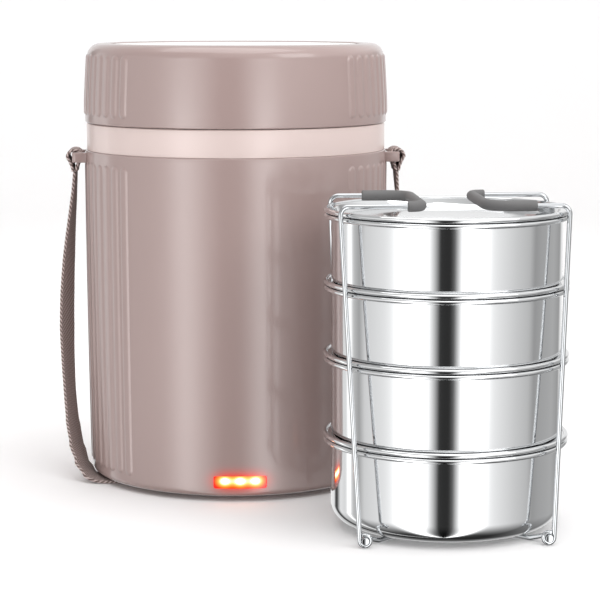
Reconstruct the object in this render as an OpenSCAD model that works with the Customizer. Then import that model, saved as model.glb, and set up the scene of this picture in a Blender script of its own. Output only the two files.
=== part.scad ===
// Electric lunch box: a heated, insulated jar with a lift-off screw-turn lid and a carrying strap,
// and beside it the stack of four steel containers in its wire carrier.
// The set stands on the floor at z = 0, and the middle of its outline is at x = y = 0.

/* [Outer shell] */
// Gap between the steel pot and the shell at its top edge, which the foam fills
foam_gap = 7.8; // [6:0.1:14]
// How much narrower the shell is at the floor than at its top edge
belly_in = 1.6; // [0:0.1:3]
// Wall of the outer shell
shell_wall = 2.4; // [1.6:0.1:3]
// Height of the shell's top edge above the floor
shell_top_z = 176; // [170:0.5:205]
// Gap between the floor and the shell's lower edge
floor_gap = 2.4; // [2.2:0.1:5]
// Radius of the shell's lower outside corner
shell_corner_r = 4; // [3.2:0.1:8]

/* [Ribs] */
// Angle from one rib to the next
rib_pitch = 5.4; // [4:0.2:9]
// Share of the pitch that the rib itself takes
rib_share = 0.66; // [0.4:0.02:0.8]
// Number of ribs on each side of the shell and of the lid
rib_count = 17; // [5:2:21]
// How far a rib stands out
rib_h = 0.7; // [0.3:0.1:1.2]
// Height where the ribs of the shell start
rib_z0 = 9; // [8:0.5:30]
// Gap between the top of a shell rib and the collar
rib_top_gap = 6; // [3:0.5:20]

/* [Collar and neck] */
// How far the pale collar stands back from the shell's top edge
collar_back = 0.6; // [0:0.1:1]
// Height of the collar
collar_h = 14.4; // [12:0.1:24]
// Wall of the collar
collar_wall = 2.4; // [1.6:0.1:3]
// Wall of the neck that stands up inside the lid
neck_wall = 2.6; // [2:0.1:3]
// Height of the neck above the collar
neck_h = 8; // [7:0.5:10]
// How far the locking lugs stand out from the neck
lug_out = 2.2; // [1.5:0.1:2.4]
// Height of each locking lug
lug_h = 2.4; // [1.8:0.1:3]
// Angle that each locking lug covers
lug_span = 36; // [20:1:44]
// Number of locking lugs
lug_count = 3; // [2:1:3]

/* [Inner pot] */
// Inner radius of the steel pot
pot_r = 69.5; // [66:0.1:80]
// Sheet thickness of the pot
pot_wall = 0.6; // [0.4:0.1:1]
// Height of the pot's floor, on its inside
pot_floor_z = 26; // [25:0.5:29]
// Inside corner radius of the pot's floor
pot_corner_r = 2; // [1:0.25:2.5]

/* [Heater] */
// Radius of the aluminium heating plate
plate_r = 42; // [30:1:50]
// Thickness of the heating plate
plate_t = 3; // [2:0.25:4]
// Length of the heating element
element_l = 36; // [24:1:40]
// Width of the heating element
element_w = 20; // [14:1:22]
// Thickness of the heating element
element_t = 3; // [2:0.5:4]
// Distance from the element's end to the clamp's bolt
bolt_out = 6; // [5:0.5:8]

/* [Base] */
// Thickness of the base cover
cover_t = 2.4; // [2:0.1:3]
// Radius of each rubber foot
foot_r = 7; // [5:0.5:8]
// Distance from the shell's top edge in to the middle of each foot
foot_in = 20.3; // [18:0.1:24]
// Angle of a foot from the front-to-back line
foot_angle = 35; // [25:1:36]
// Shank radius of the base screws
screw_r = 1.2; // [1:0.1:1.6]
// Distance from the shell's top edge in to each base screw
boss_in = 13.8; // [13.3:0.1:15]
// Outer radius of a screw boss
boss_r = 3.6; // [3:0.1:4]
// Shank length of a base screw
screw_l = 12; // [8:0.5:13]
// Angle of a base screw from the side-to-side line
boss_angle = 35; // [34:1:38]

/* [Indicator] */
// Width of the indicator window
window_w = 27.4; // [20:0.2:34]
// Height of the indicator window
window_h = 6.5; // [5:0.1:9]
// Height of the window's lower edge above the floor
window_z = 6.9; // [6:0.1:8]
// Corner radius of the window
window_corner_r = 1; // [0.5:0.1:2]
// Distance between the three lamps
lamp_pitch = 8; // [6:0.5:10]

/* [Power inlet] */
// Width of the inlet housing
inlet_w = 22; // [20:0.5:26]
// Height of the inlet housing
inlet_h = 14; // [13:0.5:15]
// Depth of the inlet housing
inlet_d = 20; // [18:0.5:22]
// Height of the middle of the inlet
inlet_z = 15; // [14.5:0.5:18]
// Radius of each contact pin
pin_r = 1.2; // [1:0.1:1.5]
// Distance between the contact pins
pin_pitch = 8.6; // [8:0.1:9]

/* [Lid] */
// How far the lid stands out past the shell's top edge
lid_out = 0.2; // [0:0.1:3]
// Height of the lid
lid_h = 41.5; // [36:0.1:60]
// Wall of the lid
lid_wall = 2.2; // [1.8:0.1:2.6]
// Radius of the lid's rounded shoulder
lid_shoulder_r = 7; // [4:0.5:10]
// Width of the lid's top around its recess
recess_rim = 13.1; // [11:0.1:30]
// Depth of the recess in the top of the lid
recess_d = 1.6; // [0.8:0.1:3]
// Gap around the disc that lies in the recess
disc_gap = 2.4; // [0.3:0.1:4]
// Thickness of the disc in the top of the lid
disc_t = 1.2; // [0.8:0.1:2]
// How far the lid's steel liner reaches down into the pot
liner_drop = 10; // [6:0.5:14]

/* [Strap] */
// Width of the webbing strap
strap_w = 20; // [14:0.5:22]
// Thickness of the webbing
strap_t = 1.5; // [1:0.1:1.6]
// Thickness of the bar of each strap ear
ear_bar = 2.2; // [2:0.1:3.5]
// Height of each strap ear
ear_h = 5.4; // [4:0.1:7]
// Free width of the slot between the ear's bar and the shell
ear_slot = 4.1; // [4:0.1:6]

/* [Containers] */
// Outer radius of a container's wall
cup_r = 55.7; // [50:0.1:56]
// Sheet thickness of the containers
cup_wall = 0.6; // [0.5:0.1:0.8]
// Height of each lower container, from its floor to the middle of its rim bead
low_cup_h = 40.8; // [30:0.1:42]
// Height of each upper container, from its floor to the middle of its rim bead
high_cup_h = 36.2; // [30:0.1:38]
// Outside corner radius of a container's floor
cup_corner_r = 9.5; // [9:0.25:12]
// Thickness of the rolled rim bead
bead_d = 2.4; // [2:0.1:2.6]
// How far the middle of the bead stands out from the wall
bead_out = 3; // [2:0.1:3.2]
// Depth of the dished lid below the middle of its own bead
dish_d = 4.1; // [3.5:0.1:4.5]

/* [Wire carrier] */
// Thickness of the carrier's wire
wire_d = 2.4; // [2:0.1:2.6]
// How far the hinge line lies inside the container's wall
hinge_in_x = 12.2; // [11.7:0.1:13.7]
// How far a hook lies inside the container's wall, along the hinge line
hinge_in_y = 9.7; // [8.7:0.1:10.7]
// How far the arm's upper corner lies inside the container's wall, across the hinge line
arm_in_x = 1.5; // [0:0.1:1.7]
// How far the arm's upper corner lies inside the container's wall, along the hinge line
arm_in_y = 26.1; // [23.7:0.1:26.5]
// Distance of the grip's cross bar from the middle
grip_x = 15.5; // [10:0.5:20]
// Bend radius where the grip turns into its legs
grip_bend_r = 6; // [6:0.5:12]
// Outer thickness of the grip's sleeve
sleeve_d = 5.2; // [4.6:0.1:5.6]
// Length of sleeve on the arm's longer covered leg
sleeve_long = 17; // [10:0.5:20]
// Length of sleeve on the arm's shorter covered leg
sleeve_short = 1; // [1:0.5:12]
// Turn of the carrier about its upright axis
carrier_yaw = 1; // [0:1:20]

/* [Placing] */
// How far the stack stands to the right of the jar
stack_dx = 99.1; // [98:0.1:140]
// How far the stack stands in front of the jar
stack_dy = 128.5; // [126:0.5:150]

/* [Clearances] */
// Clearance between pieces that are fitted together
fit = 0.2; // [0.1:0.05:0.3]
// Running clearance of a wire hook on its pin
run = 0.05; // [0.03:0.01:0.08]
// Gap between a moving piece and its seat
seat = 0.3; // [0.2:0.05:0.4]

/* [Hidden] */
$fn = 96;

taupe = "#ad9793";
cream = "#dcc8c3";
white = "#f2f1ef";
steel = "#d5d7d9";
sleeve_grey = "#6f7073";
black = "#2b2b2d";
over = 1;            // how far a cutting tool runs past the face that it cuts
bend_bulge = 1.02;   // a bend's ball is a little fatter than its wire, so that the two surfaces cross
arc_step = 15;       // angle from one point of a rounded corner to the next
curve_steps = 8;     // straight stretches that the shell's curved wall is made of

// heights of the jar, from the floor up
collar_z = shell_top_z;
lid_z = collar_z + collar_h;
lid_seat_z = lid_z + seat;
neck_top_z = lid_z + neck_h;
lid_top_z = lid_seat_z + lid_h;
pot_rim_z = neck_top_z + pot_wall;
shell_rib_z1 = shell_top_z - rib_top_gap;
cover_z = floor_gap + fit;
cover_top_z = cover_z + cover_t;
corner_z = floor_gap + shell_corner_r;
pot_under_z = pot_floor_z - pot_wall;
plate_z = pot_under_z - plate_t;
element_z = plate_z - element_t;

// radii of the jar, from the pot outwards
pot_out_r = pot_r + pot_wall;
shell_top_r = pot_out_r + foam_gap + shell_wall;
collar_r = shell_top_r - collar_back;
lid_r = shell_top_r + lid_out;
recess_r = lid_r - recess_rim;
foot_pcd_r = shell_top_r - foot_in;
boss_pcd_r = shell_top_r - boss_in;
function shell_r(z) = shell_top_r - belly_in * pow(1 - z / shell_top_z, 2);
corner_cx = shell_r(corner_z) - shell_corner_r;
cover_r = corner_cx - fit;
cover_rim_r = cover_r - 1;
cover_rim_t = 1.6;
cover_rim_h = 1.6;
board_y = -sqrt(pow(cover_rim_r - cover_rim_t, 2) - pow(window_w / 2 + 2, 2)) + seat;
board_t = 1.6;
pin_back_y = shell_r(inlet_z) - inlet_d - 5;
neck_in_r = pot_out_r + seat;
neck_r = neck_in_r + neck_wall;
lug_r = neck_r + lug_out;
lid_in_r = lug_r + 2 * seat;
skirt_in_r = lid_r - lid_wall;
disc_r = recess_r - disc_gap;
tongue_h = 4;                        // the collar's tongue reaches this far into the shell
tongue_r = shell_top_r - shell_wall - fit;
tongue_t = 1.6;
neck_flange_t = 2.4;
neck_flange_z = lid_z - collar_wall - neck_flange_t;
neck_flange_r = tongue_r - tongue_t - fit;
lug_pitch = 360 / lug_count;

// the lid, from its rim up
lid_lug_z = lid_seat_z + 0.4;
neck_lug_z = lid_lug_z + lug_h + seat;
lid_deck_z = pot_rim_z + 3;
gasket_h = lid_deck_z - pot_rim_z - seat;
lid_taper_z = lid_seat_z + 8;
lid_side_in = 1.4;
lid_side_r = lid_r - lid_side_in;
shoulder_cz = lid_top_z - lid_shoulder_r;
shoulder_cx = lid_side_r - lid_shoulder_r;
lid_rib_z0 = lid_seat_z + 4;
lid_rib_z1 = lid_top_z - lid_shoulder_r;

// the ears and the strap's ends
ear_z = shell_top_z - 6.6;
ear_mid_z = ear_z + ear_h / 2;
ear_in_x = shell_r(ear_mid_z);
ear_bar_x = ear_in_x + rib_h + ear_slot;
ear_reach = ear_bar_x + ear_bar;
ear_bar_cx = ear_bar_x + ear_bar / 2;
ear_slot_y = strap_w / 2 + 1;
loop_in_r = norm([ear_bar, ear_h]) / 2 + 0.05;
loop_r = loop_in_r + strap_t;

// the stack, from the floor up
bead_r = bead_d / 2;
cup_bead_r = cup_r - cup_wall / 2 + bead_out;
hinge_x = cup_r - hinge_in_x;
hinge_y = cup_r - hinge_in_y;
arm_top_x = cup_r - arm_in_x;
arm_top_y = cup_r - arm_in_y;
stack_reach = cup_bead_r + bead_r;
lid_bead_up = bead_d + seat;
cup_heights = [low_cup_h, low_cup_h, high_cup_h, high_cup_h];
nest_up = lid_bead_up - dish_d;      // a container stands this far above the rim of the one below
wire_r = wire_d / 2;
cup_1_z = wire_d + 0.1;
cup_in_r = cup_r - cup_wall;
dish_r = cup_in_r - fit;
dish_low_r = dish_r - 1.4;
cup_foot_r = dish_low_r - 1.6;       // an upper container's foot stands in the dish below it
cup_step_h = dish_d + 0.55;          // and its wall starts this far above the foot
stack_bead_z = cup_z(5) - nest_up + lid_bead_up;
hook_r = wire_d + run;
hinge_z = hook_r + wire_r + run;
arm_z = stack_bead_z + bead_r + sleeve_d / 2 + seat;
arm_bend = 4;                        // radius of the arm's upper bend
grip_y = arm_top_y;
bar_half = grip_y - grip_bend_r;
sleeve_bore_r = wire_r + run;
pin_end_y = hinge_y + wire_r + seat;
pin_head_t = 1;
hook_open = 60;                      // the part of a full turn that the hook leaves open

// places of the jar and of the stack in the set
set_cx = (stack_dx + stack_reach - ear_reach) / 2;
set_cy = (lid_r - stack_dy - stack_reach) / 2;
module at_jar() { translate([-set_cx, -set_cy, 0]) children(); }
module at_stack() {
    translate([stack_dx - set_cx, -stack_dy - set_cy, 0]) rotate([0, 0, carrier_yaw]) children();
}

// height of container i's floor, from the lowest one, which is number 1, to where a fifth would stand
function cup_z(i) = i <= 1 ? cup_1_z : cup_z(i - 1) + cup_heights[i - 2] + nest_up;
// points of an arc about [cx, cy], from angle a0 to angle a1
function arc(cx, cy, r, a0, a1, step = arc_step) =
    let (n = max(1, round(abs(a1 - a0) / step)))
    [for (i = [0:n]) let (a = a0 + (a1 - a0) * i / n) [cx + r * cos(a), cy + r * sin(a)]];
function backwards(points) = [for (i = [len(points) - 1:-1:0]) points[i]];
// the shell's outline from its lower edge up, moved outwards by d
function shell_line(d, z1) = concat(
    arc(corner_cx, corner_z, shell_corner_r + d, -90, -arc_step),
    [for (i = [0:curve_steps]) let (z = corner_z + (z1 - corner_z) * i / curve_steps) [shell_r(z) + d, z]]);
// the shell's outline between two heights, moved outwards by d
function shell_stretch(d, z0, z1) =
    [for (i = [0:curve_steps]) let (z = z0 + (z1 - z0) * i / curve_steps) [shell_r(z) + d, z]];

module tube(r_out, r_in, z0, z1) {
    translate([0, 0, z0]) rotate_extrude()
        translate([r_in, 0]) square([r_out - r_in, z1 - z0]);
}
module rod(a, b, r) {
    d = b - a;
    translate(a) rotate([0, acos(d[2] / norm(d)), atan2(d[1], d[0])]) cylinder(r = r, h = norm(d));
}
// a bent wire along points, with a ball in each bend
module wire(points, r) {
    for (i = [0:len(points) - 2]) rod(points[i], points[i + 1], r);
    for (i = [1:1:len(points) - 2]) translate(points[i]) sphere(r = r * bend_bulge);
}
// a rounded slab in X and Z that runs along Y
module window_prism(w, h, corner, y0, y1) {
    outline = concat(
        arc(w / 2 - corner, h - corner, corner, 0, 90), arc(corner - w / 2, h - corner, corner, 90, 180),
        arc(corner - w / 2, corner, corner, 180, 270), arc(w / 2 - corner, corner, corner, 270, 360));
    translate([0, y1, 0]) rotate([90, 0, 0]) linear_extrude(y1 - y0) polygon(outline);
}
module rib_places() {
    for (side = [0, 180], i = [0:rib_count - 1])
        rotate([0, 0, side + (i - (rib_count - 1) / 2) * rib_pitch]) children();
}
module foot_places() {
    for (sx = [-1, 1], sy = [-1, 1])
        translate([sx * foot_pcd_r * sin(foot_angle), sy * foot_pcd_r * cos(foot_angle), 0]) children();
}
module boss_places() {
    for (side = [0, 180], a = [-boss_angle, boss_angle])
        rotate([0, 0, side + a]) translate([boss_pcd_r, 0, 0]) children();
}

// ---------- the jar ----------
module shell_rib() {
    d = rib_pitch * rib_share;
    side = concat(shell_stretch(-1, rib_z0, shell_rib_z1),
        backwards(shell_stretch(rib_h, rib_z0 + 2 * rib_h, shell_rib_z1 - 2 * rib_h)));
    rotate([0, 0, -d / 2]) rotate_extrude(angle = d) polygon(side);
}
module outer_shell() {
    boss_z = cover_top_z;
    boss_top = plate_z - 2;
    web_z = cover_top_z + cover_rim_h + fit;
    color(taupe) at_jar() difference() {
        union() {
            rotate_extrude() polygon(concat(shell_line(0, shell_top_z),
                backwards(shell_line(-shell_wall, shell_top_z))));
            rib_places() shell_rib();
            boss_places() translate([0, 0, boss_z]) cylinder(r = boss_r, h = boss_top - boss_z);
            boss_places() translate([0, -1, web_z])
                cube([shell_r(boss_z) - boss_pcd_r - shell_wall / 2, 2, boss_top - web_z]);
        }
        boss_places() translate([0, 0, boss_z - over])
            cylinder(r = screw_r + run, h = boss_top - boss_z + over - 2);
        translate([0, 0, window_z])
            window_prism(window_w, window_h, window_corner_r, -shell_top_r - over, -shell_r(0) + 8);
        inlet_hole();
        for (side = [0, 180]) rotate([0, 0, side]) ear_pocket();
    }
}
module inlet_hole() {
    y1 = shell_top_r + over;
    depth = over + belly_in + shell_wall + 9;
    translate([-inlet_w / 2 - fit, y1 - depth, inlet_z - inlet_h / 2 - fit])
        cube([inlet_w + 2 * fit, depth, inlet_h + 2 * fit]);
}
module ear_pocket() {
    h = ear_h + 2 * fit;
    w = 2 * (ear_slot_y + ear_bar + fit);
    translate([ear_in_x - shell_wall - over, -w / 2, ear_z - fit]) cube([shell_wall + 3, w, h]);
}
module collar_ring() {
    r1 = neck_r + fit;
    color(cream) at_jar() rotate_extrude() polygon([
        [tongue_r, collar_z - tongue_h], [tongue_r, collar_z], [collar_r, collar_z],
        [collar_r, lid_z - 0.6], [collar_r - 0.6, lid_z], [r1, lid_z], [r1, lid_z - collar_wall],
        [collar_r - collar_wall, lid_z - collar_wall], [tongue_r - tongue_t, collar_z + 1],
        [tongue_r - tongue_t, collar_z - tongue_h]]);
}
module lug(r_in, r_out, z) {
    rotate([0, 0, -lug_span / 2]) translate([0, 0, z]) rotate_extrude(angle = lug_span)
        translate([r_in, 0]) square([r_out - r_in, lug_h]);
}
module neck_ring() {
    color(cream) at_jar() {
        tube(neck_r, neck_in_r, neck_flange_z, neck_top_z);
        tube(neck_flange_r, neck_r - 1, neck_flange_z, neck_flange_z + neck_flange_t);
        for (i = [0:lug_count - 1]) rotate([0, 0, 90 + i * lug_pitch]) lug(neck_r - 1, lug_r, neck_lug_z);
    }
}
module inner_pot() {
    corner_z0 = pot_floor_z + pot_corner_r;
    outline = concat(
        [[0, pot_under_z]],
        arc(pot_r - pot_corner_r, corner_z0, pot_corner_r + pot_wall, -90, 0),
        [[pot_out_r, neck_top_z], [neck_r - 0.4, neck_top_z], [neck_r - 0.4, pot_rim_z],
         [pot_r, pot_rim_z]],
        arc(pot_r - pot_corner_r, corner_z0, pot_corner_r, 0, -90),
        [[0, pot_floor_z]]);
    color(steel) at_jar() rotate_extrude() polygon(outline);
}
module insulation() {
    z0 = pot_under_z + 1;
    z1 = neck_flange_z - 1;
    narrow = tongue_r - tongue_t - seat;
    step_z = collar_z - tongue_h - 1;
    outline = concat([[pot_out_r + fit, z0]], shell_stretch(-shell_wall - fit, z0, step_z - 4),
        [[narrow, step_z], [narrow, z1], [pot_out_r + fit, z1]]);
    color("#efe6c8") at_jar() rotate_extrude() polygon(outline);
}
module heater_plate() {
    rim = 4;
    color("#b9bcc0") at_jar() difference() {
        union() {
            translate([0, 0, plate_z]) cylinder(r = plate_r, h = plate_t);
            for (a = [60:120:300]) rotate([0, 0, a]) translate([plate_r - rim - 2, 0, plate_z - 2])
                cylinder(r = rim, h = 2 + plate_t / 2);
        }
        for (sx = [-1, 1]) translate([sx * (element_l / 2 + bolt_out), 0, plate_z - over])
            cylinder(r = screw_r + fit, h = over + plate_t - 1);
    }
}
module heater_element() {
    color("#c9a26b") at_jar() translate([-element_l / 2, -element_w / 2, element_z])
        cube([element_l, element_w, element_t]);
}
module heater_clamp() {
    t = 1;
    l = element_l + 2 * (bolt_out + 3);
    w = 12;
    color(steel) at_jar() difference() {
        union() {
            translate([-element_l / 2 - 1, -w / 2, element_z - t]) cube([element_l + 2, w, t]);
            for (side = [0, 180]) rotate([0, 0, side]) {
                translate([element_l / 2 + fit, -w / 2, element_z - t]) cube([t, w, element_t]);
                translate([element_l / 2 + fit, -w / 2, plate_z - t - fit])
                    cube([l / 2 - element_l / 2 - fit, w, t]);
            }
        }
        for (sx = [-1, 1]) translate([sx * (element_l / 2 + bolt_out), 0, element_z - over])
            cylinder(r = screw_r + fit, h = element_t + 2 * over);
    }
}
module clamp_nuts() {
    under = plate_z - 1 - fit;
    color("#9a9ca0") at_jar() for (sx = [-1, 1]) translate([sx * (element_l / 2 + bolt_out), 0, 0]) {
        translate([0, 0, under - 2]) cylinder(r = 2.8, h = 2, $fn = 6);
        translate([0, 0, under - 1]) cylinder(r = screw_r, h = plate_z + plate_t - 1 - under);
    }
}
module thermostat() {
    color(black) at_jar() translate([0, -element_w / 2 - 12, 0]) {
        translate([0, 0, plate_z - 7]) cylinder(r = 8, h = 5);
        translate([0, 0, plate_z - 2]) cylinder(r = 6.5, h = 2);
        for (sx = [-1, 1]) translate([sx * 4 - 1.5, -0.4, plate_z - 12]) cube([3, 0.8, 5]);
    }
}
module thermal_fuse() {
    y = element_w / 2 + 8;
    color("#b8a98a") at_jar() {
        translate([-5, y, plate_z - 2]) rotate([0, 90, 0]) cylinder(r = 2, h = 10);
        for (sx = [-1, 1]) translate([sx * 5, y, plate_z - 2]) rotate([0, sx * 90, 0])
            cylinder(r = 0.5, h = 8);
    }
}
module base_cover() {
    recess = 1;
    vent_w = 2.2;
    color(taupe) at_jar() difference() {
        union() {
            translate([0, 0, cover_z]) cylinder(r = cover_r, h = cover_t);
            tube(cover_rim_r, cover_rim_r - cover_rim_t, cover_top_z - 0.5, cover_top_z + cover_rim_h);
        }
        foot_places() translate([0, 0, cover_z - over]) cylinder(r = foot_r + run, h = over + recess);
        boss_places() translate([0, 0, cover_z - over])
            cylinder(r = screw_r + fit, h = cover_t + 4 * over);
        boss_places() translate([0, 0, cover_z - over]) cylinder(r = 2 * screw_r + 0.5, h = over + recess);
        boss_places() translate([0, 0, cover_top_z - run]) cylinder(r = boss_r + fit, h = 3 * over);
        for (i = [-2:2]) translate([i * 6 - vent_w / 2, 8, cover_z - over])
            cube([vent_w, 22, cover_t + 2 * over]);
    }
}
module rubber_feet() {
    chamfer = 1;
    color(black) at_jar() foot_places() {
        cylinder(r1 = foot_r - chamfer, r2 = foot_r, h = chamfer);
        translate([0, 0, chamfer]) cylinder(r = foot_r, h = cover_z + 1 - chamfer);
    }
}
module base_screws() {
    head_z = cover_z + 1;
    color("#9a9ca0") at_jar() boss_places() {
        translate([0, 0, head_z - 1]) cylinder(r = 2 * screw_r, h = 1);
        translate([0, 0, head_z - run]) cylinder(r = screw_r, h = screw_l);
    }
}
module power_inlet() {
    y1 = shell_r(inlet_z) + 0.2;
    socket_r = 4.2;
    socket_d = 16;
    color(black) at_jar() difference() {
        union() {
            translate([-inlet_w / 2, y1 - 12, inlet_z - inlet_h / 2]) cube([inlet_w, 12, inlet_h]);
            translate([-inlet_w / 2 - 1.5, y1 - inlet_d, inlet_z - inlet_h / 2 + 1])
                cube([inlet_w + 3, inlet_d - 12, inlet_h - 2]);
        }
        translate([0, y1 + over, inlet_z]) rotate([90, 0, 0]) {
            for (sx = [-1, 1]) translate([sx * pin_pitch / 2, 0, 0])
                cylinder(r = socket_r, h = socket_d + over);
            translate([-pin_pitch / 2, -socket_r + 0.6, 0])
                cube([pin_pitch, 2 * socket_r - 1.2, socket_d + over]);
        }
        for (sx = [-1, 1]) translate([sx * pin_pitch / 2, y1 - socket_d + over, inlet_z])
            rotate([90, 0, 0]) cylinder(r = pin_r + run, h = inlet_d);
    }
}
module inlet_pins() {
    y1 = shell_r(inlet_z) - 4;
    color("#c8a44c") at_jar() for (sx = [-1, 1]) translate([sx * pin_pitch / 2, 0, 0]) {
        translate([0, y1, inlet_z]) rotate([90, 0, 0]) cylinder(r = pin_r, h = y1 - pin_back_y);
        translate([0, y1, inlet_z]) sphere(r = pin_r * bend_bulge);
    }
}
module indicator_board() {
    y1 = board_y;
    color("#2f6b45") at_jar() translate([-window_w / 2 - 2, y1, cover_top_z + fit])
        cube([window_w + 4, board_t, window_h + 2]);
}
module indicator_lamps() {
    y1 = board_y;
    color("#ff5a2a") at_jar() for (i = [-1:1])
        translate([i * lamp_pitch, y1, window_z + window_h / 2 + 0.6]) rotate([90, 0, 0]) {
            cylinder(r = 1.6, h = 1.4);
            translate([0, 0, 1.4]) sphere(r = 1.4);
        }
}
module indicator_lens() {
    w = window_w - 2 * run;
    h = window_h - 2 * run;
    color([0.9, 0.1, 0.05, 0.6]) at_jar() intersection() {
        rotate_extrude() polygon(concat(shell_line(-0.3, shell_top_z),
            backwards(shell_line(-shell_wall, shell_top_z))));
        translate([0, 0, window_z + run])
            window_prism(w, h, window_corner_r, -shell_top_r, -shell_top_r / 2);
    }
}
module inner_wires() {
    r = 0.8;
    low = cover_top_z + 2;
    y0 = pin_back_y - r - 0.1;
    fuse_y = element_w / 2 + 8;
    stat_y = -element_w / 2 - 12;
    lamp_y = board_y + board_t + r + 0.1;
    color("#3a66a8") at_jar() {
        wire([[pin_pitch / 2, y0, inlet_z], [20, y0 - 10, low], [24, fuse_y, low],
            [14, fuse_y, plate_z - 2]], r);
        wire([[-pin_pitch / 2, y0, inlet_z], [-20, y0 - 10, low], [-30, 0, low],
            [-12, stat_y, low], [-4, stat_y, plate_z - 13]], r);
        wire([[4, stat_y, plate_z - 13], [9, stat_y - 6, low], [6, lamp_y, low]], r);
    }
}
module strap_ear() {
    w = 2 * (ear_slot_y + ear_bar);
    root = ear_in_x - shell_wall + fit;
    difference() {
        translate([root, -w / 2, ear_z]) cube([ear_reach - root, w, ear_h]);
        translate([ear_in_x + rib_h, -ear_slot_y, ear_z - over])
            cube([ear_slot, 2 * ear_slot_y, ear_h + 2 * over]);
        for (sy = [-1, 1]) translate([ear_reach, sy * w / 2, ear_z + ear_h / 2]) rotate([0, 0, 45])
            cube([2, 2, ear_h + 2 * over], center = true);
    }
}
module strap_ear_left() { color(taupe) at_jar() rotate([0, 0, 180]) strap_ear(); }
module strap_ear_right() { color(taupe) at_jar() strap_ear(); }

// The strap's end goes round the ear's bar and is sewn to itself below it, where the free strap starts.
sewn_z = ear_z - 5.2;
module strap_loop() {
    t = strap_t;
    low = sewn_z;
    drop = ear_mid_z - low;
    mid = ear_bar_cx;
    translate([0, strap_w / 2, 0]) rotate([90, 0, 0]) linear_extrude(strap_w) difference() {
        polygon(concat(arc(mid, ear_mid_z, loop_r, 0, 180),
            [[mid - t, low], [mid + t, low]]));
        polygon(concat(arc(mid, ear_mid_z, loop_in_r, 0, 180), [[mid, low + 2.2]]));
    }
}
module strap_loop_left() { color(taupe) at_jar() rotate([0, 0, 180]) strap_loop(); }
module strap_loop_right() { color(taupe) at_jar() strap_loop(); }

// The route of the free strap on one side, from under the ear down to the floor: place of its middle,
// outwards from the shell's top edge.
side_steps = [
    [5.9, 0, 164.1], [6.6, 0, 154], [8.3, 0, 137], [10, 0, 118], [11.1, 0, 99], [11.5, -1, 80],
    [11.1, -3, 61], [10.1, -7, 44], [8.5, -11, 29], [5.9, -16, 16.5], [2.5, -20, 7.8],
    [-1.7, -23, 2.9], [-6.8, -24, 1.1]];
side_route = concat([for (p = side_steps) [shell_top_r + p[0], p[1], p[2]]],
    [[60, -24, 0.95], [40, -24, 0.95], [20, -24, 0.95]]);
// Turn of the webbing about its own length at each of those places.
side_twist = [0, 0, 3, 7, 12, 15, 14, 10, 6, 3, 0, 0, 0, 0, 0, 0];
strap_route = concat([for (p = side_route) [-p[0], p[1], p[2]]], [[0, -24, 0.95]], backwards(side_route));
strap_twist = concat(side_twist, [0], [for (a = backwards(side_twist)) -a]);
function unit(v) = v / norm(v);
function tangent(p, i) = unit(p[min(i + 1, len(p) - 1)] - p[max(i - 1, 0)]);
// Corners of the webbing's section at place i: its width lies front to back, turned by the twist.
function strap_ring(p, i, twist) =
    let (t = tangent(p, i), y = [0, 1, 0], w0 = unit(y - (y * t) * t), n0 = cross(t, w0),
         w = w0 * cos(twist) + n0 * sin(twist), n = cross(t, w))
    [for (c = [[-1, -1], [1, -1], [1, 1], [-1, 1]])
        p[i] + w * c[0] * strap_w / 2 + n * c[1] * strap_t / 2];
module strap() {
    n = len(strap_route);
    points = [for (i = [0:n - 1], q = strap_ring(strap_route, i, strap_twist[i])) q];
    sides = [for (i = [0:n - 2], k = [0:3], half = [0, 1])
        let (a = 4 * i + k, b = 4 * i + (k + 1) % 4) half == 0 ? [a, b, b + 4] : [a, b + 4, a + 4]];
    color(taupe) at_jar()
        polyhedron(points, concat([[3, 2, 1, 0]], sides, [[for (k = [0:3]) 4 * (n - 1) + k]]));
}

// ---------- the lid ----------
function lid_line(d) = concat(
    [[lid_r + d - 0.6, lid_seat_z], [lid_r + d, lid_seat_z + 0.6], [lid_r + d, lid_taper_z],
     [lid_side_r + d, shoulder_cz]],
    arc(shoulder_cx, shoulder_cz, lid_shoulder_r + d, arc_step, 90));
module lid_rib() {
    d = rib_pitch * rib_share;
    rotate([0, 0, -d / 2]) rotate_extrude(angle = d) polygon([
        [lid_r - 1, lid_rib_z0], [lid_r, lid_rib_z0], [lid_r + rib_h, lid_rib_z0 + 2 * rib_h],
        [lid_r + rib_h, lid_taper_z], [lid_side_r + rib_h, lid_rib_z1 - rib_h],
        [lid_side_r, lid_rib_z1 + rib_h], [lid_side_r - 1, lid_rib_z1]]);
}
module lid_cap() {
    top_in_z = lid_top_z - recess_d - lid_wall;
    color(taupe) at_jar() union() {
        rotate_extrude() polygon(concat(
            lid_line(0),
            [[recess_r, lid_top_z], [recess_r, lid_top_z - recess_d], [0, lid_top_z - recess_d],
             [0, top_in_z], [recess_r - lid_wall, top_in_z]],
            backwards(arc(shoulder_cx, shoulder_cz, lid_shoulder_r - lid_wall, 0, 60)),
            [[skirt_in_r - lid_side_in, lid_deck_z + 4], [lid_in_r, lid_deck_z],
             [lid_in_r, lid_seat_z]]));
        rib_places() lid_rib();
        for (i = [0:lug_count - 1]) rotate([0, 0, 90 + (i + 0.5) * lug_pitch])
            lug(neck_r + seat, lid_in_r + 1, lid_lug_z);
    }
}
module lid_disc() {
    color(white) at_jar() translate([0, 0, lid_top_z - recess_d]) {
        cylinder(r = disc_r, h = disc_t - 0.4);
        translate([0, 0, disc_t - 0.4]) cylinder(r1 = disc_r, r2 = disc_r - 0.4, h = 0.4);
    }
}
module lid_insulation() {
    z1 = lid_top_z - recess_d - lid_wall - fit;
    color("#efe6c8") at_jar() translate([0, 0, lid_deck_z + 0.8 + fit])
        cylinder(r = lid_in_r - 4, h = z1 - lid_deck_z - 0.8 - fit);
}
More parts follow.
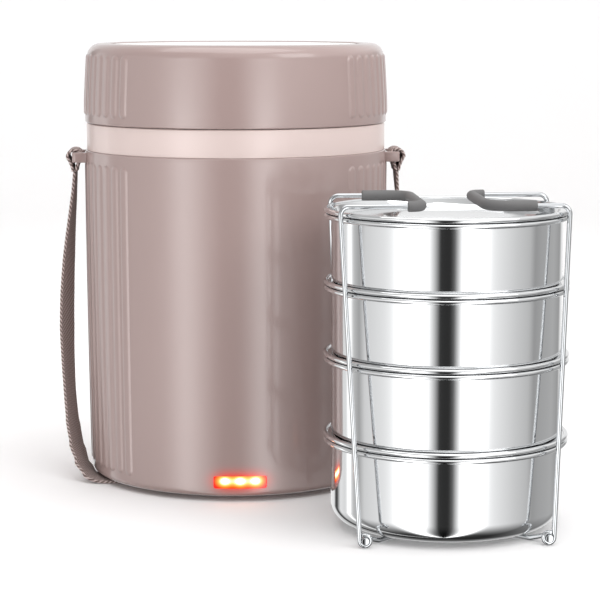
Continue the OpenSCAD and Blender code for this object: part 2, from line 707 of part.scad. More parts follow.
module lid_liner() {
    t = 0.8;
    r = pot_r - 1;
    low = lid_deck_z - liner_drop;
    color(steel) at_jar() rotate_extrude() polygon([
        [0, low], [r - 3, low], [r, low + 3], [r, lid_deck_z], [lid_in_r - fit, lid_deck_z],
        [lid_in_r - fit, lid_deck_z + t], [r - t, lid_deck_z + t], [r - t, low + 3 + t / 2],
        [r - 3 - t / 2, low + t], [0, low + t]]);
}
module lid_gasket() {
    color("#e4e4e2") at_jar()
        tube(neck_r - 0.4, pot_r - 0.2, pot_rim_z + seat / 2, pot_rim_z + seat / 2 + gasket_h);
}

// ---------- the containers ----------
// outline of the lowest container's base, moved inwards by d
function round_base(z0, d) = arc(cup_r - cup_corner_r, z0 + cup_corner_r, cup_corner_r - d, -90, 0);
// outline of an upper container's base, whose foot is narrower than its wall, moved inwards by d
function foot_base(z0, d) = let (foot_corner = 2, step_z = z0 + cup_step_h) concat(
    arc(cup_foot_r - foot_corner, z0 + foot_corner, foot_corner - d, -90, 0, 3 * arc_step),
    [[cup_foot_r - d, step_z - 0.6 + 1.1 * d], [cup_r - 1.2 - d / 2, step_z + d],
     [cup_r - d, step_z + 1.2 + d / 2]]);
module container(i) {
    z0 = cup_z(i);
    zb = z0 + cup_heights[i - 1];
    half = cup_wall / 2;
    rim = [[cup_r, zb - half], [cup_bead_r, zb - half], [cup_bead_r, zb + half], [cup_in_r, zb + half]];
    outline = concat([[0, z0]], i == 1 ? round_base(z0, 0) : foot_base(z0, 0), rim,
        backwards(i == 1 ? round_base(z0, cup_wall) : foot_base(z0, cup_wall)), [[0, z0 + cup_wall]]);
    color(steel) at_stack() {
        rotate_extrude() polygon(outline);
        translate([0, 0, zb]) rotate_extrude() translate([cup_bead_r, 0]) circle(r = bead_r);
    }
}
module container_lid(i) {
    zb = cup_z(i) + cup_heights[i - 1] + lid_bead_up;
    panel_z = zb - dish_d;
    t = cup_wall - 0.1;
    half = t / 2;
    flat_r = dish_low_r - 1.6;
    color(steel) at_stack() {
        rotate_extrude() polygon([
            [0, panel_z], [flat_r, panel_z], [dish_low_r - t, panel_z + 1.4], [dish_r - t, zb + half],
            [cup_bead_r, zb + half], [cup_bead_r, zb - half], [dish_r, zb - half],
            [dish_low_r, panel_z + 1.2], [flat_r + 0.3, panel_z - t], [0, panel_z - t]]);
        translate([0, 0, zb]) rotate_extrude() translate([cup_bead_r, 0]) circle(r = bead_r);
    }
}
module container_1() { container(1); }
module container_2() { container(2); }
module container_3() { container(3); }
module container_4() { container(4); }
module container_lid_1() { container_lid(1); }
module container_lid_2() { container_lid(2); }
module container_lid_3() { container_lid(3); }
module container_lid_4() { container_lid(4); }

// ---------- the wire carrier ----------
module carrier_base() {
    reach = 36;
    pin_y0 = hinge_y - 5;
    color(steel) at_stack() {
        for (s = [1, -1]) rod([-reach, -s * reach, wire_r], [reach, s * reach, wire_r], wire_r);
        for (sx = [-1, 1], sy = [-1, 1]) {
            wire([[sx * (reach - 2), sy * (reach - 2), wire_r], [sx * reach, sy * reach, wire_r],
                [sx * hinge_x, sy * pin_y0, hinge_z], [sx * hinge_x, sy * pin_end_y, hinge_z]], wire_r);
            translate([sx * hinge_x, sy * pin_end_y, hinge_z]) rotate([-sy * 90, 0, 0])
                cylinder(r = wire_r + 0.6, h = pin_head_t);
        }
    }
}
// One arm, on the right of the stack: hooks at its feet, legs outside the beads, and the grip bar.
module arm_grip(r, leg_front, leg_rear) {
    for (sy = [-1, 1]) {
        leg = sy < 0 ? leg_front : leg_rear;
        translate([grip_x + grip_bend_r, sy * bar_half, arm_z])
            rotate([0, 0, sy < 0 ? 180 : 90]) rotate_extrude(angle = 90)
            translate([grip_bend_r, 0]) circle(r = r);
        translate([grip_x + grip_bend_r, sy * grip_y, arm_z]) rotate([0, 90, 0]) cylinder(r = r, h = leg);
    }
    translate([grip_x, -bar_half, arm_z]) rotate([-90, 0, 0]) cylinder(r = r, h = 2 * bar_half);
}
module arm() {
    leg = arm_top_x - arm_bend - grip_x - grip_bend_r;
    foot_x = hinge_x + hook_r;
    arm_grip(wire_r, leg, leg);
    for (sy = [-1, 1]) {
        top = [arm_top_x, sy * arm_top_y, arm_z - arm_bend];
        foot = [foot_x, sy * hinge_y, hinge_z];
        rod(top, foot, wire_r);
        for (joint = [top, foot]) translate(joint) sphere(r = wire_r * bend_bulge);
        translate([arm_top_x - arm_bend, sy * arm_top_y, arm_z - arm_bend]) rotate([90, 0, 0])
            rotate_extrude(angle = 90) translate([arm_bend, 0]) circle(r = wire_r);
        translate([hinge_x, sy * hinge_y, hinge_z]) rotate([90, 0, 0]) rotate([0, 0, hook_open - 360])
            rotate_extrude(angle = 360 - hook_open) translate([hook_r, 0]) circle(r = wire_r);
    }
}
module grip() {
    difference() {
        arm_grip(sleeve_d / 2, sleeve_long, sleeve_short);
        arm_grip(sleeve_bore_r, sleeve_long + over, sleeve_short + over);
    }
}
module arm_right() { color(steel) at_stack() arm(); }
module arm_left() { color(steel) at_stack() rotate([0, 0, 180]) arm(); }
module grip_right() { color(sleeve_grey) at_stack() grip(); }
module grip_left() { color(sleeve_grey) at_stack() rotate([0, 0, 180]) grip(); }

outer_shell();
collar_ring();
neck_ring();
inner_pot();
insulation();
heater_plate();
heater_element();
heater_clamp();
clamp_nuts();
thermostat();
thermal_fuse();
base_cover();
rubber_feet();
base_screws();
power_inlet();
inlet_pins();
indicator_board();
indicator_lamps();
indicator_lens();
inner_wires();
strap_ear_left();
strap_ear_right();
strap_loop_left();
strap_loop_right();
strap();
lid_cap();
lid_disc();
lid_insulation();
lid_liner();
lid_gasket();
container_1();
container_2();
container_3();
container_4();
container_lid_1();
container_lid_2();
container_lid_3();
container_lid_4();
carrier_base();
arm_left();
arm_right();
grip_left();
grip_right();
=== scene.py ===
"""Looks and studio for the electric lunch box set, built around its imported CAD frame.

Sizes are written in millimetres, as in the part's source, and turned into metres where a mesh is made.
Each class below is one sub-assembly: its fields are its sizes, and build() adds its meshes to the scene.
"""

from __future__ import annotations

import logging
import math
import sys
from collections.abc import Callable, Sequence
from dataclasses import dataclass, field
from enum import Enum
from typing import Any

import bpy
import numpy as np
from mathutils import Matrix, Vector

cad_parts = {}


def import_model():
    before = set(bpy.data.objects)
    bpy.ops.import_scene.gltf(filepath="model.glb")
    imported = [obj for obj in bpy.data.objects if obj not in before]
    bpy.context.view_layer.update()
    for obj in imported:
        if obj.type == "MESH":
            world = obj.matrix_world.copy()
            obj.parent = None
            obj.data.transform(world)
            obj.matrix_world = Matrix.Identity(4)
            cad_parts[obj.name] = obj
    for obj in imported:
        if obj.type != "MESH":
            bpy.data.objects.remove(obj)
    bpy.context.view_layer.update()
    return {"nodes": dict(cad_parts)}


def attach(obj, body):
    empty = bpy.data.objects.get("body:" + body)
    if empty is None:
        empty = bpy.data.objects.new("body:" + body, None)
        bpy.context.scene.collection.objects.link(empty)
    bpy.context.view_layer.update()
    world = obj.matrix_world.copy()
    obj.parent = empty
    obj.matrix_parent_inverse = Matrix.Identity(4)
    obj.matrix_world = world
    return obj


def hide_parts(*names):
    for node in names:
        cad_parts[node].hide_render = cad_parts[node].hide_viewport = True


LOG = logging.getLogger("lunch_box")
# Metres in a millimetre, and radians in a full turn
MM = 0.001
TAU = 2.0 * math.pi
# Edges that turn by more than this stay sharp
SHARP_ANGLE = math.radians(38.0)
# Roughness of every clear gloss layer
COAT_ROUGHNESS = 0.12
# Scales of the slow change in a moulding's gloss, and of the fibres in webbing
WIDE_MARKS_PER_M = 40.0
FIBRES_PER_M = 2600.0
# Mesh columns of a round piece, and of a large one
ROUND_COLUMNS = 192
FINE_COLUMNS = 256
# How far in front of each lamp, in millimetres, its light is taken to be
LAMP_GLOW_STEP = 6.0

Point2 = tuple[float, float]
Point3 = tuple[float, float, float]
Faces = list[tuple[int, ...]]


# ---------------------------------------------------------------------------------------------
# Finishes
# ---------------------------------------------------------------------------------------------
class Texture(Enum):
    """How a finish varies over its surface."""

    PLAIN = "plain"
    MOULDED = "moulded"
    SPUN = "spun"
    WOVEN = "woven"
    CAST = "cast"
    GLOWING = "glowing"


@dataclass(frozen=True)
class Finish:
    """One real material's surface.

    Attributes:
        name: The name that the material has in the scene.
        colour: Its sRGB colour as a hex string.
        roughness: Microfacet roughness.
        metallic: 1 for bare metal, 0 for everything else.
        texture: How it varies over the surface.
        pitch_mm: Distance between two marks of the texture.
        depth_mm: Depth of those marks.
        second: The texture's other sRGB colour, for cloth, and for plastic on which the lamps' light is
            painted.
        coat: Weight of a clear gloss layer.
        clear: Share of light that goes through.
        glow: Strength of its own light.
        lamp_light: Share of the lamps' light that is painted on it near them, as a glow and a redder colour.
    """

    name: str
    colour: str
    roughness: float
    metallic: float = 0.0
    texture: Texture = Texture.PLAIN
    pitch_mm: float = 1.0
    depth_mm: float = 0.0
    second: str = ""
    coat: float = 0.0
    clear: float = 0.0
    glow: float = 0.0
    lamp_light: float = 0.0


# Glossy ABS, moulded in a taupe colour, with the slight orange peel of a moulding. Round the lit window
# the lamps' red light is painted on it, as a glow and a redder colour.
SHELL_ABS = Finish("taupe_abs", "#a48e8a", 0.30, texture=Texture.MOULDED, pitch_mm=3.2, depth_mm=0.004,
                   second="#e23420", coat=0.8, lamp_light=0.5)
# The same plastic in a pale cream pink
COLLAR_ABS = Finish("cream_abs", "#dac7c2", 0.30, texture=Texture.MOULDED, pitch_mm=3.2, depth_mm=0.004,
                    coat=0.25)
# Polypropylene disc in the lid
WHITE_PP = Finish("white_polypropylene", "#f2f1ef", 0.38)
# Mirror-polished stainless steel sheet, with faint marks from spinning it over its former
POLISHED_STEEL = Finish("polished_steel", "#dfe0e1", 0.07, 1.0, Texture.SPUN, pitch_mm=0.9, depth_mm=0.0006)
# Drawn stainless steel wire, polished
WIRE_STEEL = Finish("polished_wire", "#bcbec0", 0.08, 1.0)
# Plain drawn steel sheet of the pot and the lid's liner
SHEET_STEEL = Finish("drawn_steel_sheet", "#c3c6c9", 0.24, 1.0, Texture.SPUN, pitch_mm=0.7, depth_mm=0.001)
# Matt vinyl sleeve of the grips
GRIP_VINYL = Finish("grey_vinyl", "#6c6b6b", 0.62, texture=Texture.MOULDED, pitch_mm=0.5, depth_mm=0.02)
# Twill webbing of polyester, a light thread over a darker one
WEBBING = Finish("polyester_webbing", "#d3c3bf", 0.85, texture=Texture.WOVEN, pitch_mm=2.4, depth_mm=0.3,
                 second="#66544f")
# Rigid foam between the walls
FOAM = Finish("polyurethane_foam", "#e9dfbd", 0.9, texture=Texture.CAST, pitch_mm=1.5, depth_mm=0.15)
# Sand-cast aluminium heating plate
CAST_ALUMINIUM = Finish("cast_aluminium", "#b3b6b8", 0.42, 1.0, Texture.CAST, pitch_mm=0.8, depth_mm=0.03)
# Mica-wrapped heating element
MICA = Finish("mica_wrap", "#bd9660", 0.7, texture=Texture.CAST, pitch_mm=2.0, depth_mm=0.03)
# Black polycarbonate of the inlet and the thermostat
BLACK_PC = Finish("black_polycarbonate", "#232325", 0.45, texture=Texture.MOULDED, pitch_mm=0.8,
                  depth_mm=0.01)
# Black rubber feet
RUBBER = Finish("black_rubber", "#1d1d1e", 0.8, texture=Texture.MOULDED, pitch_mm=0.5, depth_mm=0.02)
# White silicone seal
SILICONE = Finish("white_silicone", "#e2e2df", 0.5)
# Zinc-plated steel of the screws
ZINC = Finish("zinc_plate", "#a3a6aa", 0.34, 1.0)
# Nickel-plated brass pins
BRASS = Finish("brass", "#c6a75a", 0.25, 1.0)
# Glass-fibre circuit board
BOARD = Finish("green_circuit_board", "#2b6a45", 0.5)
# Lit lamps behind the window
LAMP = Finish("lit_lamp", "#ffd9a0", 0.3, glow=9.0)
# Clear red acrylic window, lit from behind
LENS = Finish("red_acrylic", "#cc1808", 0.12, texture=Texture.GLOWING, second="#f2912e", clear=0.2, glow=1.0)
# Silicone-insulated wire
WIRE_COVER = Finish("wire_insulation", "#3a66a8", 0.5)
# Seamless paper of the studio floor and backdrop
PAPER = Finish("white_paper", "#f9f8f8", 0.9)


def linear(hex_colour: str) -> tuple[float, float, float, float]:
    """Turns an sRGB hex string into linear RGBA.

    Args:
        hex_colour: A colour such as "#a48e8a".

    Returns:
        Linear red, green and blue, and an alpha of 1.
    """
    text = hex_colour.lstrip("#")
    parts = [int(text[i:i + 2], 16) / 255.0 for i in (0, 2, 4)]
    r, g, b = (p / 12.92 if p <= 0.04045 else ((p + 0.055) / 1.055) ** 2.4 for p in parts)
    return (r, g, b, 1.0)


class NodeSheet:
    """A node tree with one short way to add a node."""

    def __init__(self, tree: bpy.types.NodeTree) -> None:
        """Keeps the tree and empties it."""
        self.tree = tree
        tree.nodes.clear()

    def add(self, kind: str, values: dict[str | int, Any] | None = None, **settings: Any) -> bpy.types.Node:
        """Adds a node, links or sets its inputs and sets its properties.

        Args:
            kind: The node's type name.
            values: Input name or number to a socket to link from, or to a plain value.
            **settings: Properties of the node itself.

        Returns:
            The new node.
        """
        node = self.tree.nodes.new(kind)
        for key, value in settings.items():
            setattr(node, key, value)
        for key, value in (values or {}).items():
            if isinstance(value, bpy.types.NodeSocket):
                self.tree.links.new(value, node.inputs[key])
            else:
                node.inputs[key].default_value = value
        return node

    def maths(self, operation: str, a: Any, b: Any = 0.0) -> bpy.types.NodeSocket:
        """Adds one maths node and returns its result."""
        return self.add("ShaderNodeMath", {0: a, 1: b}, operation=operation).outputs[0]


class FinishShop:
    """Makes each finish's material once and hands it out."""

    def __init__(self, spin_axes: Sequence[Point2], lamp_places: Sequence[Point3]) -> None:
        """Starts with no materials.

        Args:
            spin_axes: Upright axes that spun marks go round, each in metres. The first is the default.
            lamp_places: Middles of the lamps behind the window, in metres.
        """
        self.spin_axes = list(spin_axes)
        self.lamp_places = list(lamp_places)
        self.made: dict[tuple[str, int], bpy.types.Material] = {}

    def get(self, finish: Finish, axis: int = 0) -> bpy.types.Material:
        """Returns the material of a finish.

        Args:
            finish: The finish wanted.
            axis: Which of the spin axes its marks go round.

        Returns:
            The material, made on first use.
        """
        key = (finish.name, axis)
        if key not in self.made:
            self.made[key] = self._make(finish, axis)
        return self.made[key]

    def _make(self, finish: Finish, axis: int) -> bpy.types.Material:
        """Builds one material.

        Args:
            finish: The finish wanted.
            axis: Which of the spin axes its marks go round.

        Returns:
            The material.
        """
        material = bpy.data.materials.new(finish.name if axis == 0 else f"{finish.name}_{axis}")
        material.use_nodes = True
        sheet = NodeSheet(material.node_tree)
        colour = linear(finish.colour)
        shader = sheet.add("ShaderNodeBsdfPrincipled", {
            "Base Color": colour, "Roughness": finish.roughness, "Metallic": finish.metallic,
            "Coat Weight": finish.coat, "Coat Roughness": COAT_ROUGHNESS,
            "Transmission Weight": finish.clear})
        if finish.glow > 0.0:
            shader.inputs["Emission Color"].default_value = colour
            shader.inputs["Emission Strength"].default_value = finish.glow
        makers: dict[Texture, Callable[[NodeSheet, Finish, bpy.types.Node, int], None]] = {
            Texture.MOULDED: self._moulded, Texture.SPUN: self._spun, Texture.WOVEN: self._woven,
            Texture.CAST: self._moulded, Texture.GLOWING: self._glowing}
        if finish.texture in makers:
            makers[finish.texture](sheet, finish, shader, axis)
        sheet.add("ShaderNodeOutputMaterial", {"Surface": shader.outputs[0]})
        material.diffuse_color = colour
        return material

    @staticmethod
    def _bump(sheet: NodeSheet, finish: Finish, shader: bpy.types.Node, height: bpy.types.NodeSocket) -> None:
        """Turns a height between 0 and 1 into relief of the finish's own depth.

        Args:
            sheet: The material's nodes.
            finish: The finish that it is for.
            shader: The surface node.
            height: The height.
        """
        bump = sheet.add("ShaderNodeBump", {
            "Strength": 1.0, "Distance": finish.depth_mm * MM, "Height": height})
        sheet.tree.links.new(bump.outputs[0], shader.inputs["Normal"])

    def _moulded(self, sheet: NodeSheet, finish: Finish, shader: bpy.types.Node, _axis: int) -> None:
        """Adds the gentle unevenness of a moulded or cast skin.

        Args:
            sheet: The material's nodes.
            finish: The finish that it is for.
            shader: The surface node.
            _axis: Not used: this texture goes round no axis.
        """
        place = sheet.add("ShaderNodeTexCoord").outputs["Object"]
        detail = 5.0 if finish.texture is Texture.CAST else 1.5
        noise = sheet.add("ShaderNodeTexNoise", {
            "Vector": place, "Scale": 1.0 / (finish.pitch_mm * MM), "Detail": detail}).outputs[0]
        self._bump(sheet, finish, shader, noise)
        wide = sheet.add("ShaderNodeTexNoise", {
            "Vector": place, "Scale": WIDE_MARKS_PER_M, "Detail": 2.0}).outputs[0]
        rough = sheet.add("ShaderNodeMapRange", {
            "Value": wide, "To Min": finish.roughness * 0.92, "To Max": finish.roughness * 1.08}).outputs[0]
        sheet.tree.links.new(rough, shader.inputs["Roughness"])
        # Painted light: the lamps' red glow on the skin round the lit window
        if finish.lamp_light > 0.0:
            self._paint_lamp_glow(sheet, finish, shader)

    def _spun(self, sheet: NodeSheet, finish: Finish, shader: bpy.types.Node, axis: int) -> None:
        """Adds faint marks that go round an upright axis.

        Args:
            sheet: The material's nodes.
            finish: The finish that it is for.
            shader: The surface node.
            axis: Which of the spin axes they go round.
        """
        x, y = self.spin_axes[axis]
        place = sheet.add("ShaderNodeTexCoord").outputs["Object"]
        moved = sheet.add("ShaderNodeVectorMath", {0: place, 1: (x, y, 0.0)}, operation="SUBTRACT").outputs[0]
        split = sheet.add("ShaderNodeSeparateXYZ", {0: moved})
        radius = sheet.maths("SQRT", sheet.maths(
            "ADD", sheet.maths("POWER", split.outputs[0], 2.0), sheet.maths("POWER", split.outputs[1], 2.0)))
        rings = sheet.add("ShaderNodeCombineXYZ", {0: radius, 1: split.outputs[2]}).outputs[0]
        noise = sheet.add("ShaderNodeTexNoise", {
            "Vector": rings, "Scale": 1.0 / (finish.pitch_mm * MM), "Detail": 2.0}).outputs[0]
        self._bump(sheet, finish, shader, noise)
        rough = sheet.add("ShaderNodeMapRange", {
            "Value": noise, "To Min": finish.roughness * 0.8, "To Max": finish.roughness * 1.25}).outputs[0]
        sheet.tree.links.new(rough, shader.inputs["Roughness"])

    def _woven(self, sheet: NodeSheet, finish: Finish, shader: bpy.types.Node, _axis: int) -> None:
        """Adds a twill of two threads over the piece's own map, whose unit is a metre.

        Args:
            sheet: The material's nodes.
            finish: The finish that it is for.
            shader: The surface node.
            _axis: Not used: this texture goes round no axis.
        """
        place = sheet.add("ShaderNodeUVMap", uv_map="weave").outputs[0]
        split = sheet.add("ShaderNodeSeparateXYZ", {0: place})
        turns = TAU / (finish.pitch_mm * MM)
        across = sheet.maths("MULTIPLY", split.outputs[0], turns)
        along = sheet.maths("MULTIPLY", split.outputs[1], turns)
        twill = sheet.maths("SINE", sheet.maths("ADD", across, along))
        cord = sheet.maths("SINE", sheet.maths("MULTIPLY", across, 2.0))
        height = sheet.maths("ADD", sheet.maths("MULTIPLY", twill, 0.35), sheet.maths("MULTIPLY", cord, 0.15))
        height = sheet.maths("ADD", height, 0.5)
        fibre = sheet.add("ShaderNodeTexNoise", {
            "Vector": place, "Scale": FIBRES_PER_M, "Detail": 3.0}).outputs[0]
        mixed = sheet.maths("ADD", sheet.maths("MULTIPLY", height, 0.8), sheet.maths("MULTIPLY", fibre, 0.2))
        self._bump(sheet, finish, shader, mixed)
        ramp = sheet.add("ShaderNodeMapRange", {"Value": mixed, "From Min": 0.3, "From Max": 0.75}).outputs[0]
        mix = sheet.add("ShaderNodeMix", {
            0: ramp, 6: linear(finish.second), 7: linear(finish.colour)}, data_type="RGBA")
        sheet.tree.links.new(mix.outputs[2], shader.inputs["Base Color"])

    def _lamp_light(self, sheet: NodeSheet, spread: Point3) -> bpy.types.NodeSocket:
        """Adds up the lamps' light on a surface.

        Args:
            sheet: The material's nodes.
            spread: How far each lamp's light reaches along X, Y and Z, in millimetres.

        Returns:
            The light, which is about 1 right in front of a lamp.
        """
        place = sheet.add("ShaderNodeTexCoord").outputs["Object"]
        scale = tuple(1.0 / (s * MM) for s in spread)
        total: Any = 0.0
        for lamp in self.lamp_places:
            gone = sheet.add("ShaderNodeVectorMath", {0: place, 1: lamp}, operation="SUBTRACT").outputs[0]
            near = sheet.add("ShaderNodeVectorMath", {0: gone, 1: scale}, operation="MULTIPLY").outputs[0]
            square = sheet.add("ShaderNodeVectorMath", {0: near, 1: near}, operation="DOT_PRODUCT")
            fall = sheet.maths("MULTIPLY", square.outputs["Value"], -1.0)
            total = sheet.maths("ADD", total, sheet.maths("EXPONENT", fall))
        return total

    def _paint_lamp_glow(self, sheet: NodeSheet, finish: Finish, shader: bpy.types.Node) -> None:
        """Paints some of the lamps' light on a skin round their window, as a glow and a redder colour.

        Args:
            sheet: The material's nodes.
            finish: The finish that it is for.
            shader: The surface node.
        """
        light = self._lamp_light(sheet, (6.0, 9.0, 4.4))
        # Painted light: near the lamps the base colour turns to the red second colour, and the skin glows
        mix = sheet.add("ShaderNodeMix", {0: light, 6: linear(finish.colour), 7: linear(finish.second)},
                        data_type="RGBA", clamp_factor=True)
        sheet.tree.links.new(mix.outputs[2], shader.inputs["Base Color"])
        shader.inputs["Emission Color"].default_value = linear(finish.second)
        power = sheet.maths("MULTIPLY", light, finish.lamp_light)
        sheet.tree.links.new(power, shader.inputs["Emission Strength"])

    def _glowing(self, sheet: NodeSheet, finish: Finish, shader: bpy.types.Node, _axis: int) -> None:
        """Lights the plastic from behind: pale in front of each lamp, then the second colour, then its own.

        Args:
            sheet: The material's nodes.
            finish: The finish that it is for.
            shader: The surface node.
            _axis: Not used: this texture goes round no axis.
        """
        light = self._lamp_light(sheet, (3.9, 20.0, 3.0))
        ramp = sheet.add("ShaderNodeValToRGB", {0: light})
        stops = ((0.0, finish.colour), (0.12, finish.colour), (0.34, finish.second), (0.62, "#ffcf70"),
                 (0.92, "#fff8e4"))
        for number, (place, colour) in enumerate(stops):
            stop = ramp.color_ramp.elements[number] if number < 2 else ramp.color_ramp.elements.new(place)
            stop.position = place
            stop.color = linear(colour)
        more = sheet.maths("MULTIPLY", sheet.maths("POWER", light, 4.0), 3.0 * finish.glow)
        power = sheet.maths("ADD", more, finish.glow)
        sheet.tree.links.new(ramp.outputs[0], shader.inputs["Emission Color"])
        sheet.tree.links.new(power, shader.inputs["Emission Strength"])


# ---------------------------------------------------------------------------------------------
# Mesh making
# ---------------------------------------------------------------------------------------------
def arc(cx: float, cy: float, r: float, start: float, end: float, steps: int) -> list[Point2]:
    """Returns points of an arc.

    Args:
        cx: First coordinate of the centre.
        cy: Second coordinate of the centre.
        r: Radius.
        start: First angle in degrees.
        end: Last angle in degrees.
        steps: Number of stretches.

    Returns:
        steps + 1 points.
    """
    angles = [math.radians(start + (end - start) * i / steps) for i in range(steps + 1)]
    return [(cx + r * math.cos(a), cy + r * math.sin(a)) for a in angles]


def stretch(low: float, high: float, steps: int) -> list[float]:
    """Returns steps + 1 evenly spaced values."""
    return [low + (high - low) * i / steps for i in range(steps + 1)]


def make_object(name: str, points: Sequence[Sequence[float]], faces: Faces, material: bpy.types.Material,
                shift: Point3 = (0.0, 0.0, 0.0)) -> bpy.types.Object:
    """Makes a smooth-shaded mesh object in the scene.

    Args:
        name: The object's name.
        points: Places in millimetres.
        faces: Corners of each face.
        material: The finish.
        shift: What is added to each place, in millimetres.

    Returns:
        The object, at the origin, with its place in its mesh.
    """
    mesh = bpy.data.meshes.new(name)
    moved = (np.asarray(points, dtype=float) + np.asarray(shift, dtype=float)) * MM
    mesh.from_pydata(moved.tolist(), [], faces)
    mesh.validate()
    mesh.materials.append(material)
    obj = bpy.data.objects.new(name, mesh)
    bpy.context.scene.collection.objects.link(obj)
    smooth(obj)
    return obj


def smooth(obj: bpy.types.Object, angle: float = SHARP_ANGLE) -> None:
    """Shades a mesh smooth, with its true corners kept sharp."""
    obj.data.shade_smooth()
    obj.data.set_sharp_from_angle(angle=angle)


def revolve(profile: Sequence[Point2], angles: Sequence[float],
            swell: Callable[[float, float, int], float] | None = None,
            sector: bool = False) -> tuple[list[Point3], Faces]:
    """Turns a closed outline round the upright axis.

    Args:
        profile: Radius and height of each corner, anticlockwise as seen with the axis on the left.
        angles: Angles of the columns in radians, rising.
        swell: Given an angle, a height and a corner number, what is added to the radius there.
        sector: True when the columns don't go all the way round; the two ends are then closed.

    Returns:
        Points in millimetres and faces.
    """
    points: list[Point3] = []
    rows: list[list[int]] = []
    for number, (r, z) in enumerate(profile):
        if r < 1e-6:
            points.append((0.0, 0.0, z))
            rows.append([len(points) - 1] * len(angles))
            continue
        row = []
        for a in angles:
            radius = r + (swell(a, z, number) if swell else 0.0)
            points.append((radius * math.cos(a), radius * math.sin(a), z))
            row.append(len(points) - 1)
        rows.append(row)
    faces: Faces = []
    columns = len(angles)
    for i, row in enumerate(rows):
        following = rows[(i + 1) % len(rows)]
        for j in range(columns - 1 if sector else columns):
            k = (j + 1) % columns
            corners = (row[j], row[k], following[k], following[j])
            distinct = tuple(dict.fromkeys(corners))
            if len(distinct) > 2:
                faces.append(distinct)
    if sector:
        faces.append(tuple(row[0] for row in rows))
        faces.append(tuple(row[-1] for row in reversed(rows)))
    return points, faces


def even_angles(count: int) -> list[float]:
    """Returns the angles of evenly spaced columns."""
    return [TAU * i / count for i in range(count)]


def lathe(name: str, profile: Sequence[Point2], material: bpy.types.Material, shift: Point3,
          columns: int = ROUND_COLUMNS) -> bpy.types.Object:
    """Makes a round piece from a closed outline."""
    points, faces = revolve(profile, even_angles(columns))
    return make_object(name, points, faces, material, shift)


def frames_along(path: Sequence[Vector]) -> list[tuple[Vector, Vector]]:
    """Returns two unit vectors across the path at each of its points, without twist between them.

    Args:
        path: Points of the path.

    Returns:
        The pair at each point.
    """
    count = len(path)
    tangents = [(path[min(i + 1, count - 1)] - path[max(i - 1, 0)]).normalized() for i in range(count)]
    across = tangents[0].orthogonal().normalized()
    frames = []
    for i, tangent in enumerate(tangents):
        if i:
            turn = tangents[i - 1].rotation_difference(tangent)
            across = turn @ across
        across = (across - tangent * across.dot(tangent)).normalized()
        frames.append((across, tangent.cross(across)))
    return frames


def rod(path: Sequence[Point3], radius: float, columns: int = 20, bore: float = 0.0,
        edge: float = 0.3) -> tuple[list[Point3], Faces]:
    """Sweeps a round section along a path, as a solid rod or as a sleeve.

    Args:
        path: Middle line in millimetres, in short steps.
        radius: Outer radius.
        columns: Points round the section.
        bore: Radius of the hole, or 0 for a solid rod.
        edge: Radius of the rounded ends.

    Returns:
        Points in millimetres and faces.
    """
    line = [Vector(p) for p in path]
    frames = frames_along(line)
    first, last = (line[0] - line[1]).normalized(), (line[-1] - line[-2]).normalized()
    tail = len(line) - 1
    rounding = [(edge * (1 - math.sin(a)), radius - edge * (1 - math.cos(a)))
                for a in stretch(0.0, math.pi / 2, 3)]
    rings = [(line[0] - first * back, r, 0) for back, r in reversed(rounding)]
    rings.extend((p, radius, i) for i, p in enumerate(line) if 0 < i < tail
                 and (p - line[0]).length > edge * 1.5 and (p - line[-1]).length > edge * 1.5)
    rings.extend((line[-1] - last * back, r, tail) for back, r in rounding)
    if bore > 0.0:
        rings.extend([(p, bore, i) for p, _, i in reversed(rings)])
    points: list[Point3] = []
    for place, r, i in rings:
        u, v = frames[i]
        for k in range(columns):
            a = TAU * k / columns
            q = place + u * (r * math.cos(a)) + v * (r * math.sin(a))
            points.append((q.x, q.y, q.z))
    faces: Faces = []
    count = len(rings)
    for i in range(count if bore > 0.0 else count - 1):
        n = (i + 1) % count
        for k in range(columns):
            m = (k + 1) % columns
            faces.append((i * columns + k, i * columns + m, n * columns + m, n * columns + k))
    if bore <= 0.0:
        faces.append(tuple(reversed(range(columns))))
        faces.append(tuple((count - 1) * columns + k for k in range(columns)))
    return points, faces


def bent_line(corners: Sequence[Point3], bends: Sequence[float], step: float = 4.0) -> list[Point3]:
    """Returns a path through corners that are rounded to given radii.

    Args:
        corners: Ends and corners of the path in millimetres.
        bends: Bend radius at each corner between the two ends.
        step: Longest straight step.

    Returns:
        Points of the path.
    """
    places = [Vector(c) for c in corners]
    line = [places[0]]
    for i, bend in enumerate(bends, start=1):
        before = (places[i - 1] - places[i]).normalized()
        after = (places[i + 1] - places[i]).normalized()
        half = before.angle(after) / 2
        if bend <= 0.0 or half > 1.55:
            line.append(places[i])
            continue
        cut = bend / math.tan(half)
        middle = places[i] + (before + after).normalized() * (bend / math.sin(half))
        a = places[i] + before * cut - middle
        b = places[i] + after * cut - middle
        turn = a.rotation_difference(b)
        steps = max(4, int(a.angle(b) / 0.16))
        for k in range(steps + 1):
            part = Matrix.Rotation(turn.angle * k / steps, 3, turn.axis)
            line.append(middle + part @ a)
    line.append(places[-1])
    path: list[Point3] = [tuple(line[0])]
    for a, b in zip(line, line[1:]):
        pieces = max(1, int((b - a).length / step))
        path.extend(tuple(a.lerp(b, k / pieces)) for k in range(1, pieces + 1) if (b - a).length > 1e-6)
    return path


def turned(path: Sequence[Point3], degrees: float) -> list[Point3]:
    """Turns a path about the upright axis through the origin."""
    turn = Matrix.Rotation(math.radians(degrees), 3, "Z")
    return [tuple(turn @ Vector(p)) for p in path]


